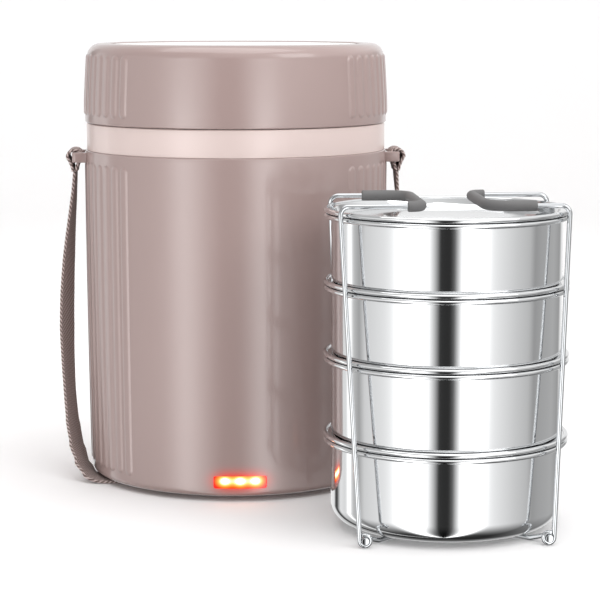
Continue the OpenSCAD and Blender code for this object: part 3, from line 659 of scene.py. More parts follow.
def join_parts(name: str, parts: Sequence[tuple[Sequence[Point3], Faces]], material: bpy.types.Material,
               shift: Point3) -> bpy.types.Object:
    """Makes one object from several sets of points and faces.

    Args:
        name: The object's name.
        parts: Points in millimetres and faces of each part.
        material: The finish.
        shift: What is added to each place, in millimetres.

    Returns:
        The object.
    """
    points: list[Point3] = []
    faces: Faces = []
    for some_points, some_faces in parts:
        base = len(points)
        points.extend(some_points)
        faces.extend(tuple(base + k for k in face) for face in some_faces)
    return make_object(name, points, faces, material, shift)


def cut(target: bpy.types.Object, tool: bpy.types.Object, operation: str = "DIFFERENCE") -> None:
    """Cuts one closed mesh with another, then removes the tool.

    Args:
        target: The object that is changed.
        tool: The object that cuts it.
        operation: DIFFERENCE to cut away, INTERSECT to keep what is in both.
    """
    modifier = target.modifiers.new("cut", "BOOLEAN")
    modifier.object = tool
    modifier.operation = operation
    modifier.solver = "EXACT"
    bake(target)
    bpy.data.objects.remove(tool)


def bake(obj: bpy.types.Object) -> None:
    """Makes an object's modifiers part of its mesh.

    Args:
        obj: The object that is changed.
    """
    bpy.context.view_layer.update()
    evaluated = obj.evaluated_get(bpy.context.evaluated_depsgraph_get())
    mesh = bpy.data.meshes.new_from_object(evaluated)
    obj.modifiers.clear()
    obj.data = mesh
    smooth(obj)


def prism(name: str, width: float, height: float, corner: float, low: Point3, depth: float,
          material: bpy.types.Material) -> bpy.types.Object:
    """Makes a rounded slab that runs along Y, as a cutting tool.

    Args:
        name: The object's name.
        width: Size along X.
        height: Size along Z.
        corner: Corner radius.
        low: Middle of its lower edge at its front, in millimetres.
        depth: Length along Y.
        material: What its cut faces are finished in.

    Returns:
        The tool.
    """
    w, h = width / 2 - corner, height - corner
    outline = (arc(w, h, corner, 0, 90, 8) + arc(-w, h, corner, 90, 180, 8)
               + arc(-w, corner, corner, 180, 270, 8) + arc(w, corner, corner, 270, 360, 8))
    count = len(outline)
    points = [(x, 0.0, z) for x, z in outline] + [(x, depth, z) for x, z in outline]
    faces: Faces = [tuple(range(count)), tuple(reversed(range(count, 2 * count)))]
    faces += [(i, i + count, (i + 1) % count + count, (i + 1) % count) for i in range(count)]
    return make_object(name, points, faces, material, low)


class Repeater:
    """Geometry Nodes that put one part at each point of a mesh."""

    def __init__(self) -> None:
        """Builds the node group once."""
        group = bpy.data.node_groups.new("part_at_points", "GeometryNodeTree")
        self.sockets = {}
        for name, kind in (("Points", "NodeSocketGeometry"), ("Part", "NodeSocketObject"),
                           ("Finish", "NodeSocketMaterial")):
            self.sockets[name] = group.interface.new_socket(name, in_out="INPUT", socket_type=kind).identifier
        group.interface.new_socket("Geometry", in_out="OUTPUT", socket_type="NodeSocketGeometry")
        sheet = NodeSheet(group)
        entry = sheet.add("NodeGroupInput")
        part = sheet.add("GeometryNodeObjectInfo", {"Object": entry.outputs["Part"]},
                         transform_space="ORIGINAL")
        placed = sheet.add("GeometryNodeInstanceOnPoints", {
            "Points": entry.outputs["Points"], "Instance": part.outputs["Geometry"]})
        real = sheet.add("GeometryNodeRealizeInstances", {"Geometry": placed.outputs[0]})
        finished = sheet.add("GeometryNodeSetMaterial", {
            "Geometry": real.outputs[0], "Material": entry.outputs["Finish"]})
        sheet.add("NodeGroupOutput", {0: finished.outputs[0]})
        self.group = group

    def repeat(self, name: str, part: bpy.types.Object, places: Sequence[Point3]) -> bpy.types.Object:
        """Puts a part at several places, as one piece.

        Args:
            name: The new object's name.
            part: The part, made round the origin; it is removed afterwards.
            places: Where it goes, in millimetres.

        Returns:
            The joined object.
        """
        material = part.data.materials[0]
        obj = make_object(name, places, [], material)
        modifier = obj.modifiers.new("repeat", "NODES")
        modifier.node_group = self.group
        modifier[self.sockets["Part"]] = part
        modifier[self.sockets["Finish"]] = material
        bake(obj)
        bpy.data.objects.remove(part)
        return obj


# ---------------------------------------------------------------------------------------------
# The jar
# ---------------------------------------------------------------------------------------------
@dataclass
class Layout:
    """Where the jar and the stack stand, in millimetres.

    Attributes:
        jar: Foot of the jar's axis.
        stack: Foot of the stack's axis.
    """

    jar: Point3 = (-35.7, 53.8, 0.0)
    stack: Point3 = (63.4, -74.7, 0.0)


@dataclass
class Ribs:
    """A zone of upright ribs on each side of a round wall.

    Attributes:
        low: Height where the ribs start.
        high: Height where they end.
        radius: Radius of the wall, for the ribs' width.
        pitch: Angle from one rib to the next, in degrees.
        count: Number of ribs on each side.
        rise: How far a rib stands out.
        share: Share of the pitch that the rib itself takes.
        columns: Columns of the mesh for each rib.
    """

    low: float
    high: float
    radius: float = 80.3
    pitch: float = 5.4
    count: int = 17
    rise: float = 0.7
    share: float = 0.72
    columns: int = 18

    def angles(self) -> list[float]:
        """Returns the angles of a mesh's columns: dense in the ribs, sparse in front and behind.

        Returns:
            Angles in radians, rising over one turn.
        """
        half = math.radians(self.pitch * self.count / 2)
        dense = stretch(-half, half, self.count * self.columns)
        sparse = stretch(half, math.pi - half, 64)[1:-1]
        right = dense + sparse
        return right + [a + math.pi for a in right]

    def rise_at(self, angle: float, z: float) -> float:
        """Returns how far the wall stands out at an angle and height.

        Args:
            angle: Angle round the jar in radians; 0 is the right side.
            z: Height in millimetres.

        Returns:
            The rise in millimetres, 0 between the ribs.
        """
        half_zone = math.radians(self.pitch * self.count / 2)
        side = (angle + math.pi / 2) % math.pi - math.pi / 2
        if abs(side) > half_zone or not self.low < z < self.high:
            return 0.0
        pitch = math.radians(self.pitch)
        middle = round(side / pitch) * pitch
        half = pitch * self.share / 2 * self.radius
        off = (side - middle) * self.radius
        beyond = max(self.low + half - z, z - self.high + half, 0.0)
        gone = math.hypot(off, beyond) / half
        return self.rise * max(0.0, 1.0 - gone ** 4)

    def rows(self) -> list[float]:
        """Returns the heights of a mesh's rows: dense at the ends of the ribs.

        Returns:
            Heights in millimetres, rising.
        """
        end, past = 5.0, 0.3
        middle = stretch(self.low + end, self.high - end, 10)[1:-1]
        return (stretch(self.low - past, self.low + end, 14) + middle
                + stretch(self.high - end, self.high + past, 14))


@dataclass
class JarShell:
    """The ribbed outer shell with its window and its inlet hole.

    Attributes:
        top_r: Outer radius at its top edge.
        belly_in: How much narrower it is at the floor.
        top_z: Height of its top edge.
        wall: Its wall.
        floor_gap: Height of its lower edge.
        corner: Radius of its lower corner.
        rib_low: Height where its ribs start.
        rib_gap: Gap between its ribs and its top edge.
        window: The window's width, height, height above the floor and corner radius.
        inlet: The inlet hole's width, height and height above the floor.
    """

    top_r: float = 80.3
    belly_in: float = 1.6
    top_z: float = 176.0
    wall: float = 2.4
    floor_gap: float = 2.4
    corner: float = 4.0
    rib_low: float = 9.0
    rib_gap: float = 6.0
    window: tuple[float, float, float, float] = (27.4, 6.5, 6.9, 1.0)
    inlet: tuple[float, float, float] = (22.4, 14.4, 7.8)

    def radius(self, z: float) -> float:
        """Returns the outer radius at a height."""
        return self.top_r - self.belly_in * (1 - z / self.top_z) ** 2

    def outline(self, inset: float, heights: Sequence[float]) -> list[Point2]:
        """Returns the outer line from the lower edge up, moved inwards.

        Args:
            inset: How far it is moved inwards.
            heights: Heights of the points above the rounded corner.

        Returns:
            Radius and height of each point.
        """
        turn_z = self.floor_gap + self.corner
        corner = arc(self.radius(turn_z) - self.corner, turn_z, self.corner - inset, -90, -8, 12)
        return corner + [(self.radius(z) - inset, z) for z in heights]

    def build(self, shop: FinishShop, layout: Layout) -> bpy.types.Object:
        """Makes the shell.

        Args:
            shop: Where its finish comes from.
            layout: Where it stands.

        Returns:
            The shell.
        """
        ribs = Ribs(self.rib_low, self.top_z - self.rib_gap)
        heights = [self.floor_gap + self.corner + 0.6] + ribs.rows() + [self.top_z - 3.0]
        outer = self.outline(0.0, heights) + arc(self.top_r - 0.5, self.top_z - 0.5, 0.5, 0, 90, 4)
        inner = self.outline(self.wall, [z for z in heights if z < 12 or z > self.top_z - 4] + [self.top_z])
        limit = len(outer)
        points, faces = revolve(outer + inner[::-1], ribs.angles(),
                                lambda a, z, n: ribs.rise_at(a, z) if n < limit else 0.0)
        material = shop.get(SHELL_ABS)
        shell = make_object("jar_shell", points, faces, material, layout.jar)
        width, height, z, corner = self.window
        x, y, _ = layout.jar
        cut(shell, prism("window_tool", width, height, corner, (x, y - self.top_r - 2, z), 14, material))
        width, height, z = self.inlet
        cut(shell, prism("inlet_tool", width, height, 0.6, (x, y + self.top_r - 12, z), 14, material))
        return shell


@dataclass
class Collar:
    """The pale ring between the shell and the lid, with its tongue inside the shell.

    Attributes:
        radius: Outer radius.
        low: Height of its lower edge.
        high: Height of its upper edge.
        inner: Radius of its hole.
        tongue_r: Outer radius of the tongue.
        tongue_t: Thickness of the tongue.
        tongue_h: How far the tongue reaches into the shell.
        wall: Its wall.
        waist_h: Height above its lower edge of one more row of points on its straight side.
    """

    radius: float = 79.7
    low: float = 176.0
    high: float = 190.4
    inner: float = 73.2
    tongue_r: float = 77.7
    tongue_t: float = 1.6
    tongue_h: float = 4.0
    wall: float = 2.4
    waist_h: float = 7.0

    def build(self, shop: FinishShop, layout: Layout) -> bpy.types.Object:
        """Makes the collar.

        Args:
            shop: Where its finish comes from.
            layout: Where the jar stands.

        Returns:
            The collar.
        """
        r, low, high = self.radius, self.low, self.high
        tongue_in, top_edge, low_edge = self.tongue_r - self.tongue_t, 0.8, 0.4
        tongue_z = low - self.tongue_h
        outline = [(tongue_in, tongue_z), (self.tongue_r, tongue_z), (self.tongue_r, low)]
        outline += arc(r - low_edge, low + low_edge, low_edge, -90, 0, 4) + [(r, low + self.waist_h)]
        outline += arc(r - top_edge, high - top_edge, top_edge, 0, 90, 6)
        outline += [(self.inner, high), (self.inner, high - self.wall), (r - self.wall, high - self.wall),
                    (tongue_in, low + 1)]
        return lathe("collar", outline, shop.get(COLLAR_ABS), layout.jar, FINE_COLUMNS)


@dataclass
class Lid:
    """The ribbed cap with its recess, its disc and the lugs inside it.

    Attributes:
        radius: Largest outer radius.
        seat_z: Height of its lower edge.
        height: Its height.
        taper: How much narrower its side is at the shoulder.
        shoulder: Radius of its rounded shoulder.
        recess_r: Radius of the recess in its top.
        recess_d: Depth of that recess.
        disc_r: Radius of the disc in the recess.
        disc_t: Thickness of the disc.
        wall: Its wall.
        bore_r: Inner radius of its lower part.
        deck_z: Height where that bore ends.
        lug_in_r: Inner radius of its lugs.
        lug_z: Height of their undersides.
        lug_h: Their height.
        lug_span: Angle that each covers, in degrees.
    """

    radius: float = 80.5
    seat_z: float = 190.7
    height: float = 41.5
    taper: float = 1.4
    shoulder: float = 7.0
    recess_r: float = 67.4
    recess_d: float = 1.6
    disc_r: float = 65.0
    disc_t: float = 1.2
    wall: float = 2.2
    bore_r: float = 75.8
    deck_z: float = 202.0
    lug_in_r: float = 73.3
    lug_z: float = 191.1
    lug_h: float = 2.4
    lug_span: float = 36.0

    def build_cap(self, shop: FinishShop, layout: Layout) -> bpy.types.Object:
        """Makes the cap.

        Args:
            shop: Where its finish comes from.
            layout: Where it stands.

        Returns:
            The cap, with its lugs.
        """
        top = self.seat_z + self.height
        side_r = self.radius - self.taper
        bend_z = top - self.shoulder
        taper_z = self.seat_z + 8.0
        ribs = Ribs(self.seat_z + 4.0, bend_z + 1.5, self.radius)
        side = []
        for z in ribs.rows():
            part = min(1.0, max(0.0, (z - taper_z) / (bend_z - taper_z)))
            if z < bend_z:
                side.append((self.radius - self.taper * part ** 1.3, z))
        crown = arc(side_r - self.shoulder, bend_z, self.shoulder, 2, 88, 24)
        outer = arc(self.radius - 0.7, self.seat_z + 0.7, 0.7, -90, 0, 5) + side + crown
        limit = len(outer)
        floor_z = top - self.recess_d
        rest = arc(self.recess_r + 0.5, top - 0.5, 0.5, 90, 180, 4)
        rest += [(self.recess_r, floor_z), (0.0, floor_z)]
        rest += [(0.0, floor_z - self.wall), (self.recess_r - self.wall, floor_z - self.wall)]
        rest += arc(side_r - self.shoulder, bend_z, self.shoulder - self.wall, 60, 0, 8)
        rest += [(self.radius - self.wall - self.taper, self.deck_z + 4), (self.bore_r, self.deck_z),
                 (self.bore_r, self.seat_z)]
        points, faces = revolve(outer + rest, ribs.angles(),
                                lambda a, z, n: ribs.rise_at(a, z) if n < limit else 0.0)
        parts = [(points, faces)]
        for i in range(3):
            middle = math.radians(150.0 + 120.0 * i)
            half = math.radians(self.lug_span / 2)
            section = [(self.lug_in_r, self.lug_z), (self.bore_r + 1, self.lug_z),
                       (self.bore_r + 1, self.lug_z + self.lug_h), (self.lug_in_r, self.lug_z + self.lug_h)]
            parts.append(revolve(section, stretch(middle - half, middle + half, 16), sector=True))
        return join_parts("lid_shell", parts, shop.get(SHELL_ABS), layout.jar)

    def build_disc(self, shop: FinishShop, layout: Layout) -> bpy.types.Object:
        """Makes the white disc that lies in the recess.

        Args:
            shop: Where its finish comes from.
            layout: Where the jar stands.

        Returns:
            The disc.
        """
        low = self.seat_z + self.height - self.recess_d
        edge = arc(self.disc_r - 0.4, low + self.disc_t - 0.4, 0.4, 0, 90, 5)
        outline = [(0.0, low), (self.disc_r, low)] + edge + [(0.0, low + self.disc_t)]
        return lathe("lid_plate", outline, shop.get(WHITE_PP), layout.jar, FINE_COLUMNS)


@dataclass
class Ear:
    """A strap ear: a flat frame round the slot that the webbing goes through.

    Attributes:
        root_x: Where it starts, at the jar's shell.
        reach_x: Where it ends.
        slot_x: Where its slot starts.
        slot_w: Width of the slot.
        half_w: Half of its width, front to back.
        slot_half: Half of the slot's length.
        low: Height of its underside.
        height: Its height.
        edge: Radius of its rounded edges.
    """

    root_x: float = 78.1
    reach_x: float = 87.3
    slot_x: float = 81.0
    slot_w: float = 4.1
    half_w: float = 13.2
    slot_half: float = 11.0
    low: float = 169.4
    height: float = 5.4
    edge: float = 0.5

    @staticmethod
    def loop(x0: float, x1: float, half: float, corner: float) -> list[Point2]:
        """Returns a rounded rectangle.

        Args:
            x0: Its near side along X.
            x1: Its far side along X.
            half: Half of its size along Y.
            corner: Corner radius.

        Returns:
            Points, anticlockwise.
        """
        middles = ((x1 - corner, half - corner), (x0 + corner, half - corner),
                   (x0 + corner, corner - half), (x1 - corner, corner - half))
        return [p for i, (x, y) in enumerate(middles) for p in arc(x, y, corner, 90 * i, 90 * i + 90, 5)]

    def build(self, name: str, side: int, shop: FinishShop, layout: Layout) -> bpy.types.Object:
        """Makes one ear.

        Args:
            name: The object's name.
            side: 1 for the right of the jar, -1 for the left.
            shop: Where its finish comes from.
            layout: Where the jar stands.

        Returns:
            The ear.
        """
        top = self.low + self.height
        levels = [(self.low + self.edge * (1 - math.cos(a)), self.edge * (1 - math.sin(a)))
                  for a in (0.0, math.pi / 6, math.pi / 3, math.pi / 2)]
        levels += [(self.low + top - z, inset) for z, inset in reversed(levels)]
        points: list[Point3] = []
        for z, inset in levels:
            outer = self.loop(self.root_x, self.reach_x - inset, self.half_w - inset, 2.0)
            slot_end = self.slot_x + self.slot_w
            inner = self.loop(self.slot_x - inset, slot_end + inset, self.slot_half + inset, 1.0)
            points += [(side * x, side * y, z) for x, y in outer + inner]
        count = len(outer)
        faces: Faces = []
        for i in range(len(levels) - 1):
            a, b = i * 2 * count, (i + 1) * 2 * count
            for k in range(count):
                m = (k + 1) % count
                faces.append((a + k, a + m, b + m, b + k))
                faces.append((a + count + m, a + count + k, b + count + k, b + count + m))
        last = (len(levels) - 1) * 2 * count
        for k in range(count):
            m = (k + 1) % count
            faces.append((k, count + k, count + m, m))
            faces.append((last + k, last + m, last + count + m, last + count + k))
        return make_object(name, points, faces, shop.get(SHELL_ABS), layout.jar)


@dataclass
class Strap:
    """The webbing strap: its free length and the two loops round the ears' bars.

    Attributes:
        width: Width of the webbing.
        thick: Thickness of the webbing.
        bar_x: Place of the middle of an ear's bar.
        bar_z: Height of that middle.
        loop_in: Inner radius of the loop round the bar.
        sewn_z: Height where the loop's ends are sewn.
        route: Middle of the free strap on one side, from under the ear down to the floor.
        twist: Its turn about its own length at each of those places, in degrees.
    """

    width: float = 20.0
    thick: float = 1.5
    bar_x: float = 86.2
    bar_z: float = 172.1
    loop_in: float = 2.97
    sewn_z: float = 164.2
    route: tuple[Point3, ...] = (
        (86.2, 0, 164.1), (86.9, 0, 154), (88.6, 0, 137), (90.3, 0, 118), (91.4, 0, 99), (91.8, -1, 80),
        (91.4, -3, 61), (90.4, -7, 44), (88.8, -11, 29), (86.2, -16, 16.5), (82.8, -20, 7.8),
        (78.6, -23, 2.9), (73.5, -24, 1.1), (60, -24, 0.95), (40, -24, 0.95), (20, -24, 0.95))
    twist: tuple[float, ...] = (0, 2, 7, 13, 16, 17, 14, 12, 13, 13, 8, 3, 0, 0, 0, 0)

    def section(self) -> list[Point2]:
        """Returns the webbing's section: across its width, and through its thickness.

        Returns:
            Place across the width and through the thickness of each point.
        """
        half_w, half_t = self.width / 2, self.thick / 2
        edge = half_t * 0.9
        side = stretch(-(half_w - edge), half_w - edge, 8)
        right = arc(half_w - edge, 0, edge, -60, 60, 4)
        left = arc(edge - half_w, 0, edge, 120, 240, 4)
        return ([(x, -half_t) for x in side] + [(x, y * half_t / edge) for x, y in right]
                + [(x, half_t) for x in reversed(side)] + [(x, y * half_t / edge) for x, y in left])

    def ribbon(self, name: str, line: Sequence[Vector], widths: Sequence[Vector], shop: FinishShop,
               layout: Layout) -> bpy.types.Object:
        """Makes a band of webbing along a line.

        Args:
            name: The object's name.
            line: Middle line in millimetres.
            widths: Unit vector along the webbing's width at each point.
            shop: Where its finish comes from.
            layout: Where the jar stands.

        Returns:
            The band, with a map in metres for its weave.
        """
        section = self.section()
        count = len(section)
        points: list[Point3] = []
        along = [0.0]
        for a, b in zip(line, line[1:]):
            along.append(along[-1] + (b - a).length)
        for i, (place, wide) in enumerate(zip(line, widths)):
            tangent = (line[min(i + 1, len(line) - 1)] - line[max(i - 1, 0)]).normalized()
            wide = (wide - tangent * wide.dot(tangent)).normalized()
            normal = tangent.cross(wide)
            points += [tuple(place + wide * x + normal * y) for x, y in section]
        faces: Faces = []
        for i in range(len(line) - 1):
            for k in range(count):
                m = (k + 1) % count
                faces.append((i * count + k, i * count + m, (i + 1) * count + m, (i + 1) * count + k))
        faces.append(tuple(reversed(range(count))))
        faces.append(tuple((len(line) - 1) * count + k for k in range(count)))
        obj = make_object(name, points, faces, shop.get(WEBBING), layout.jar)
        mesh = obj.data
        around = [0.0]
        for (x0, y0), (x1, y1) in zip(section, section[1:] + section[:1]):
            around.append(around[-1] + math.hypot(x1 - x0, y1 - y0))
        layer = mesh.uv_layers.new(name="weave")
        for face in mesh.polygons:
            corners = [(v // count, v % count) for v in face.vertices]
            wraps = {k for _, k in corners} == {0, count - 1}
            for loop, (i, k) in zip(face.loop_indices, corners):
                u = around[count] if wraps and k == 0 else around[k]
                layer.data[loop].uv = (u * MM, along[i] * MM)
        return obj

    def free_line(self) -> tuple[list[Vector], list[Vector]]:
        """Returns the free strap's middle line, from the left ear to the right one.

        Returns:
            The line's points, and the direction of the width at each.
        """
        places = ([Vector((-x, y, z)) for x, y, z in self.route] + [Vector((0, -24, 0.95))]
                  + [Vector(p) for p in reversed(self.route)])
        turns = [math.radians(t) for t in (*self.twist, 0.0, *(-t for t in reversed(self.twist)))]
        line: list[Vector] = []
        widths: list[Vector] = []
        last = len(places) - 1
        for i in range(last):
            a, b, c, d = (places[max(i - 1, 0)], places[i], places[i + 1], places[min(i + 2, last)])
            steps = max(3, int((c - b).length / 3.0))
            for k in range(steps):
                t = k / steps
                line.append(0.5 * (2 * b + (c - a) * t + (2 * a - 5 * b + 4 * c - d) * t * t
                                   + (3 * b - a - 3 * c + d) * t ** 3))
                widths.append(self.width_at(c - b, turns[i] * (1 - t) + turns[i + 1] * t))
        line.append(places[-1])
        widths.append(self.width_at(places[-1] - places[-2], turns[-1]))
        return line, widths

    @staticmethod
    def width_at(along: Vector, turn: float) -> Vector:
        """Returns the direction of the width: front to back, turned about the strap's own length.

        Args:
            along: The strap's own direction.
            turn: Its turn in radians.

        Returns:
            A unit vector.
        """
        tangent = along.normalized()
        front = Vector((0, 1, 0))
        front = (front - tangent * front.dot(tangent)).normalized()
        return front * math.cos(turn) + tangent.cross(front) * math.sin(turn)

    def build_loop(self, name: str, side: int, shop: FinishShop, layout: Layout) -> bpy.types.Object:
        """Makes the loop of webbing round one ear's bar.

        Args:
            name: The object's name.
            side: 1 for the right of the jar, -1 for the left.
            shop: Where its finish comes from.
            layout: Where the jar stands.

        Returns:
            The loop.
        """
        middle = self.loop_in + self.thick / 2
        half = self.thick / 2
        low = self.sewn_z + 0.2
        down = [(self.bar_x + half + (middle - half) * t ** 1.6, low + (self.bar_z - low) * t)
                for t in stretch(0, 1, 8)]
        over = arc(self.bar_x, self.bar_z, middle, 0, 180, 14)[1:-1]
        up = [(2 * self.bar_x - x, z) for x, z in reversed(down)]
        line = [Vector((side * x, 0, z)) for x, z in down + over + up]
        return self.ribbon(name, line, [Vector((0, side, 0))] * len(line), shop, layout)

    def build_free(self, shop: FinishShop, layout: Layout) -> tuple[bpy.types.Object, list[Point3], float]:
        """Makes the free strap.

        Args:
            shop: Where its finish comes from.
            layout: Where the jar stands.

        Returns:
            The strap, its middle line in metres in the row frame, and that line's length in metres.
        """
        line, widths = self.free_line()
        obj = self.ribbon("free_strap", line, widths, shop, layout)
        shift = Vector(layout.jar)
        path = [tuple((p + shift) * MM) for p in line]
        length = sum((b - a).length for a, b in zip(line, line[1:])) * MM
        return obj, path, length


@dataclass
class Indicator:
    """The red window low at the front and the three lit lamps behind it.

    Attributes:
        shell: The shell that the window lies in.
        pitch: Distance between two lamps.
        lamp_y: Place of the lamps, behind the window.
        lamp_z: Height of the lamps.
        count: Number of lamps.
        lens_gap: Gap round the window in its hole.
        lens_low: Lower edge of the curved strip that the window is cut from.
        lens_high: Upper edge of that strip.
        lens_back: How far the window's inner face lies inside the shell's outer one.
        lens_span: Angle of that strip on each side of the middle, in degrees.
    """

    shell: JarShell = field(default_factory=JarShell)
    pitch: float = 8.0
    lamp_y: float = -70.6
    lamp_z: float = 10.75
    count: int = 3
    lens_gap: float = 0.05
    lens_low: float = 6.8
    lens_high: float = 14.0
    lens_back: float = 2.4
    lens_span: float = 15.0

    def lamps(self) -> list[Point3]:
        """Returns the lamps' places in the jar's own frame."""
        half = (self.count - 1) / 2
        return [((i - half) * self.pitch, self.lamp_y, self.lamp_z) for i in range(self.count)]

    def build_lens(self, shop: FinishShop, layout: Layout) -> bpy.types.Object:
        """Makes the window, which follows the shell's curve.

        Args:
            shop: Where its finish comes from.
            layout: Where the jar stands.

        Returns:
            The window.
        """
        shell = self.shell
        heights = stretch(self.lens_low, self.lens_high, 12)
        outline = shell.outline(0.3, heights) + shell.outline(self.lens_back, heights)[::-1]
        front, half = math.radians(-90), math.radians(self.lens_span)
        angles = stretch(front - half, front + half, 60)
        points, faces = revolve(outline, angles, sector=True)
        material = shop.get(LENS)
        lens = make_object("window_lens", points, faces, material, layout.jar)
        width, height, z, corner = shell.window
        x, y, _ = layout.jar
        place = (x, y - shell.top_r - 2, z + self.lens_gap)
        both = 2 * self.lens_gap
        tool = prism("lens_tool", width - both, height - both, corner, place, 20, material)
        cut(lens, tool, "INTERSECT")
        return lens

    def build_lamps(self, shop: FinishShop, layout: Layout, repeater: Repeater) -> bpy.types.Object:
        """Makes the domed lamps.

        Args:
            shop: Where its finish comes from.
            layout: Where the jar stands.
            repeater: Puts equal parts at their places.

        Returns:
            The row of lamps.
        """
        dome = [(0.0, -1.4), (1.6, -1.4), (1.6, 0.0)] + arc(0.0, 0.0, 1.5, 0, 90, 8)[1:-1] + [(0.0, 1.5)]
        points, faces = revolve(dome, even_angles(32))
        points = [(x, -z, y) for x, y, z in points]
        part = make_object("lamp_part", points, [tuple(reversed(f)) for f in faces], shop.get(LAMP))
        part.data.flip_normals()
        x, y, _ = layout.jar
        return repeater.repeat("lamp_row", part, [(x + a, y + b, c) for a, b, c in self.lamps()])


# ---------------------------------------------------------------------------------------------
# The stack
# ---------------------------------------------------------------------------------------------
@dataclass
class Containers:
    """The four steel containers and their dished lids.

    Attributes:
        radius: Outer radius of the wall.
        sheet: Thickness of the steel.
        heights: Height of each container, from its floor to the middle of its bead.
        first_z: Height of the lowest container's floor.
        nest_up: How far a floor stands above the bead of the container below it.
        corner: Radius of the lowest container's floor corner.
        bead_r: Radius of the rolled bead.
        bead_at: Distance of the bead's middle from the axis.
        dish_d: Depth of the dished lid.
        dish_r: Radius of the lid's dish.
        foot_r: Radius of the foot of the upper containers.
        step_h: Height of that foot.
        lid_up: Height of a lid's bead above its container's.
    """

    radius: float = 55.7
    sheet: float = 0.6
    heights: tuple[float, float, float, float] = (40.8, 40.8, 36.2, 36.2)
    first_z: float = 2.5
    nest_up: float = -1.4
    corner: float = 9.5
    bead_r: float = 1.2
    bead_at: float = 58.4
    dish_d: float = 4.1
    dish_r: float = 54.9
    foot_r: float = 51.9
    step_h: float = 4.65
    lid_up: float = 2.7

    def floor_z(self, number: int) -> float:
        """Returns the height of a container's floor; the lowest is number 0."""
        return self.first_z + sum(h + self.nest_up for h in self.heights[:number])

    def bead(self, z: float) -> list[Point2]:
        """Returns the rolled bead's outline from its underside at the wall round to its top."""
        return arc(self.bead_at, z, self.bead_r, -160, 160, 20)

    def base(self, number: int, inset: float) -> list[Point2]:
        """Returns the outline of a container's base, from the middle outwards, moved inwards.

        Args:
            number: The container, 0 for the lowest.
            inset: How far it is moved inwards.

        Returns:
            Radius and height of each point.
        """
        if number == 0:
            return arc(self.radius - self.corner, self.corner, self.corner - inset, -90, 0, 14)
        foot = arc(self.foot_r - 2.0, 2.0, 2.0 - inset, -90, 0, 6)
        step = [(self.foot_r - inset, self.step_h - 0.9 + 0.7 * inset),
                (self.foot_r + 0.6 - inset, self.step_h - 0.4 + 0.9 * inset)]
        turn = arc(self.radius - 1.6, self.step_h + 1.6, 1.6 - inset, -80, 0, 6)
        return foot + step + turn

    def container(self, number: int, shop: FinishShop) -> bpy.types.Object:
        """Makes one container round the origin, its floor at height 0.

        Args:
            number: The container, 0 for the lowest.
            shop: Where its finish comes from.

        Returns:
            The container.
        """
        rim = self.heights[number]
        half = self.sheet / 2
        outline = ([(0.0, 0.0)] + self.base(number, 0.0) + [(self.radius, rim - 3.0)]
                   + arc(self.radius + 1.0, rim - half - 1.0, 1.0, 180, 90, 5) + self.bead(rim)
                   + arc(self.radius + 0.6, rim - 0.9, 1.2, 90, 180, 5)
                   + [(self.radius - self.sheet, rim - 3.0)]
                   + self.base(number, self.sheet)[::-1] + [(0.0, self.sheet)])
        points, faces = revolve(outline, even_angles(ROUND_COLUMNS))
        return make_object(f"container_part_{number}", points, faces, shop.get(POLISHED_STEEL))

    def lid_part(self, shop: FinishShop) -> bpy.types.Object:
        """Makes one dished lid round the origin, the middle of its bead at height 0.

        Args:
            shop: Where its finish comes from.

        Returns:
            The lid.
        """
        low, t, half = -self.dish_d, self.sheet - 0.1, (self.sheet - 0.1) / 2
        flat = self.dish_r - 3.0
        top = ([(0.0, low)] + [(flat - 0.6, low), (flat, low + 0.12), (self.dish_r - 1.6, low + 1.2)]
               + [(self.dish_r - 0.9, -0.6), (self.dish_r - 0.5, half), (self.bead_at - 1.1, half)])
        under = [(self.bead_at - 1.1, -half), (self.dish_r, -half), (self.dish_r - 0.4, -1.0),
                 (self.dish_r - 1.2, low + 0.9), (flat + 0.2, low - t + 0.1), (flat - 0.5, low - t),
                 (0.0, low - t)]
        outline = under[::-1] + arc(self.bead_at, 0.0, self.bead_r, -165, 165, 20) + top[::-1]
        points, faces = revolve(outline, even_angles(ROUND_COLUMNS))
        return make_object("lid_part", points, faces, shop.get(POLISHED_STEEL))

    def build(self, shop: FinishShop, layout: Layout,
              repeater: Repeater) -> list[tuple[bpy.types.Object, list[str]]]:
        """Makes all containers and lids.

        Args:
            shop: Where their finish comes from.
            layout: Where the stack stands.
            repeater: Puts equal parts at their places.

        Returns:
            Each piece with the CAD nodes that it stands for.
        """
        x, y, _ = layout.stack
        rims = [(x, y, self.floor_z(i) + self.heights[i] + self.lid_up) for i in range(4)]
        pieces = [(repeater.repeat("container_lids", self.lid_part(shop), rims),
                   [f"container_lid_{i}" for i in range(1, 5)])]
        for name, number, places in (("lowest_container", 0, (0,)), ("second_container", 1, (1,)),
                                     ("upper_containers", 2, (2, 3))):
            spots = [(x, y, self.floor_z(i)) for i in places]
            piece = repeater.repeat(name, self.container(number, shop), spots)
            pieces.append((piece, [f"container_{i + 1}" for i in places]))
        return pieces


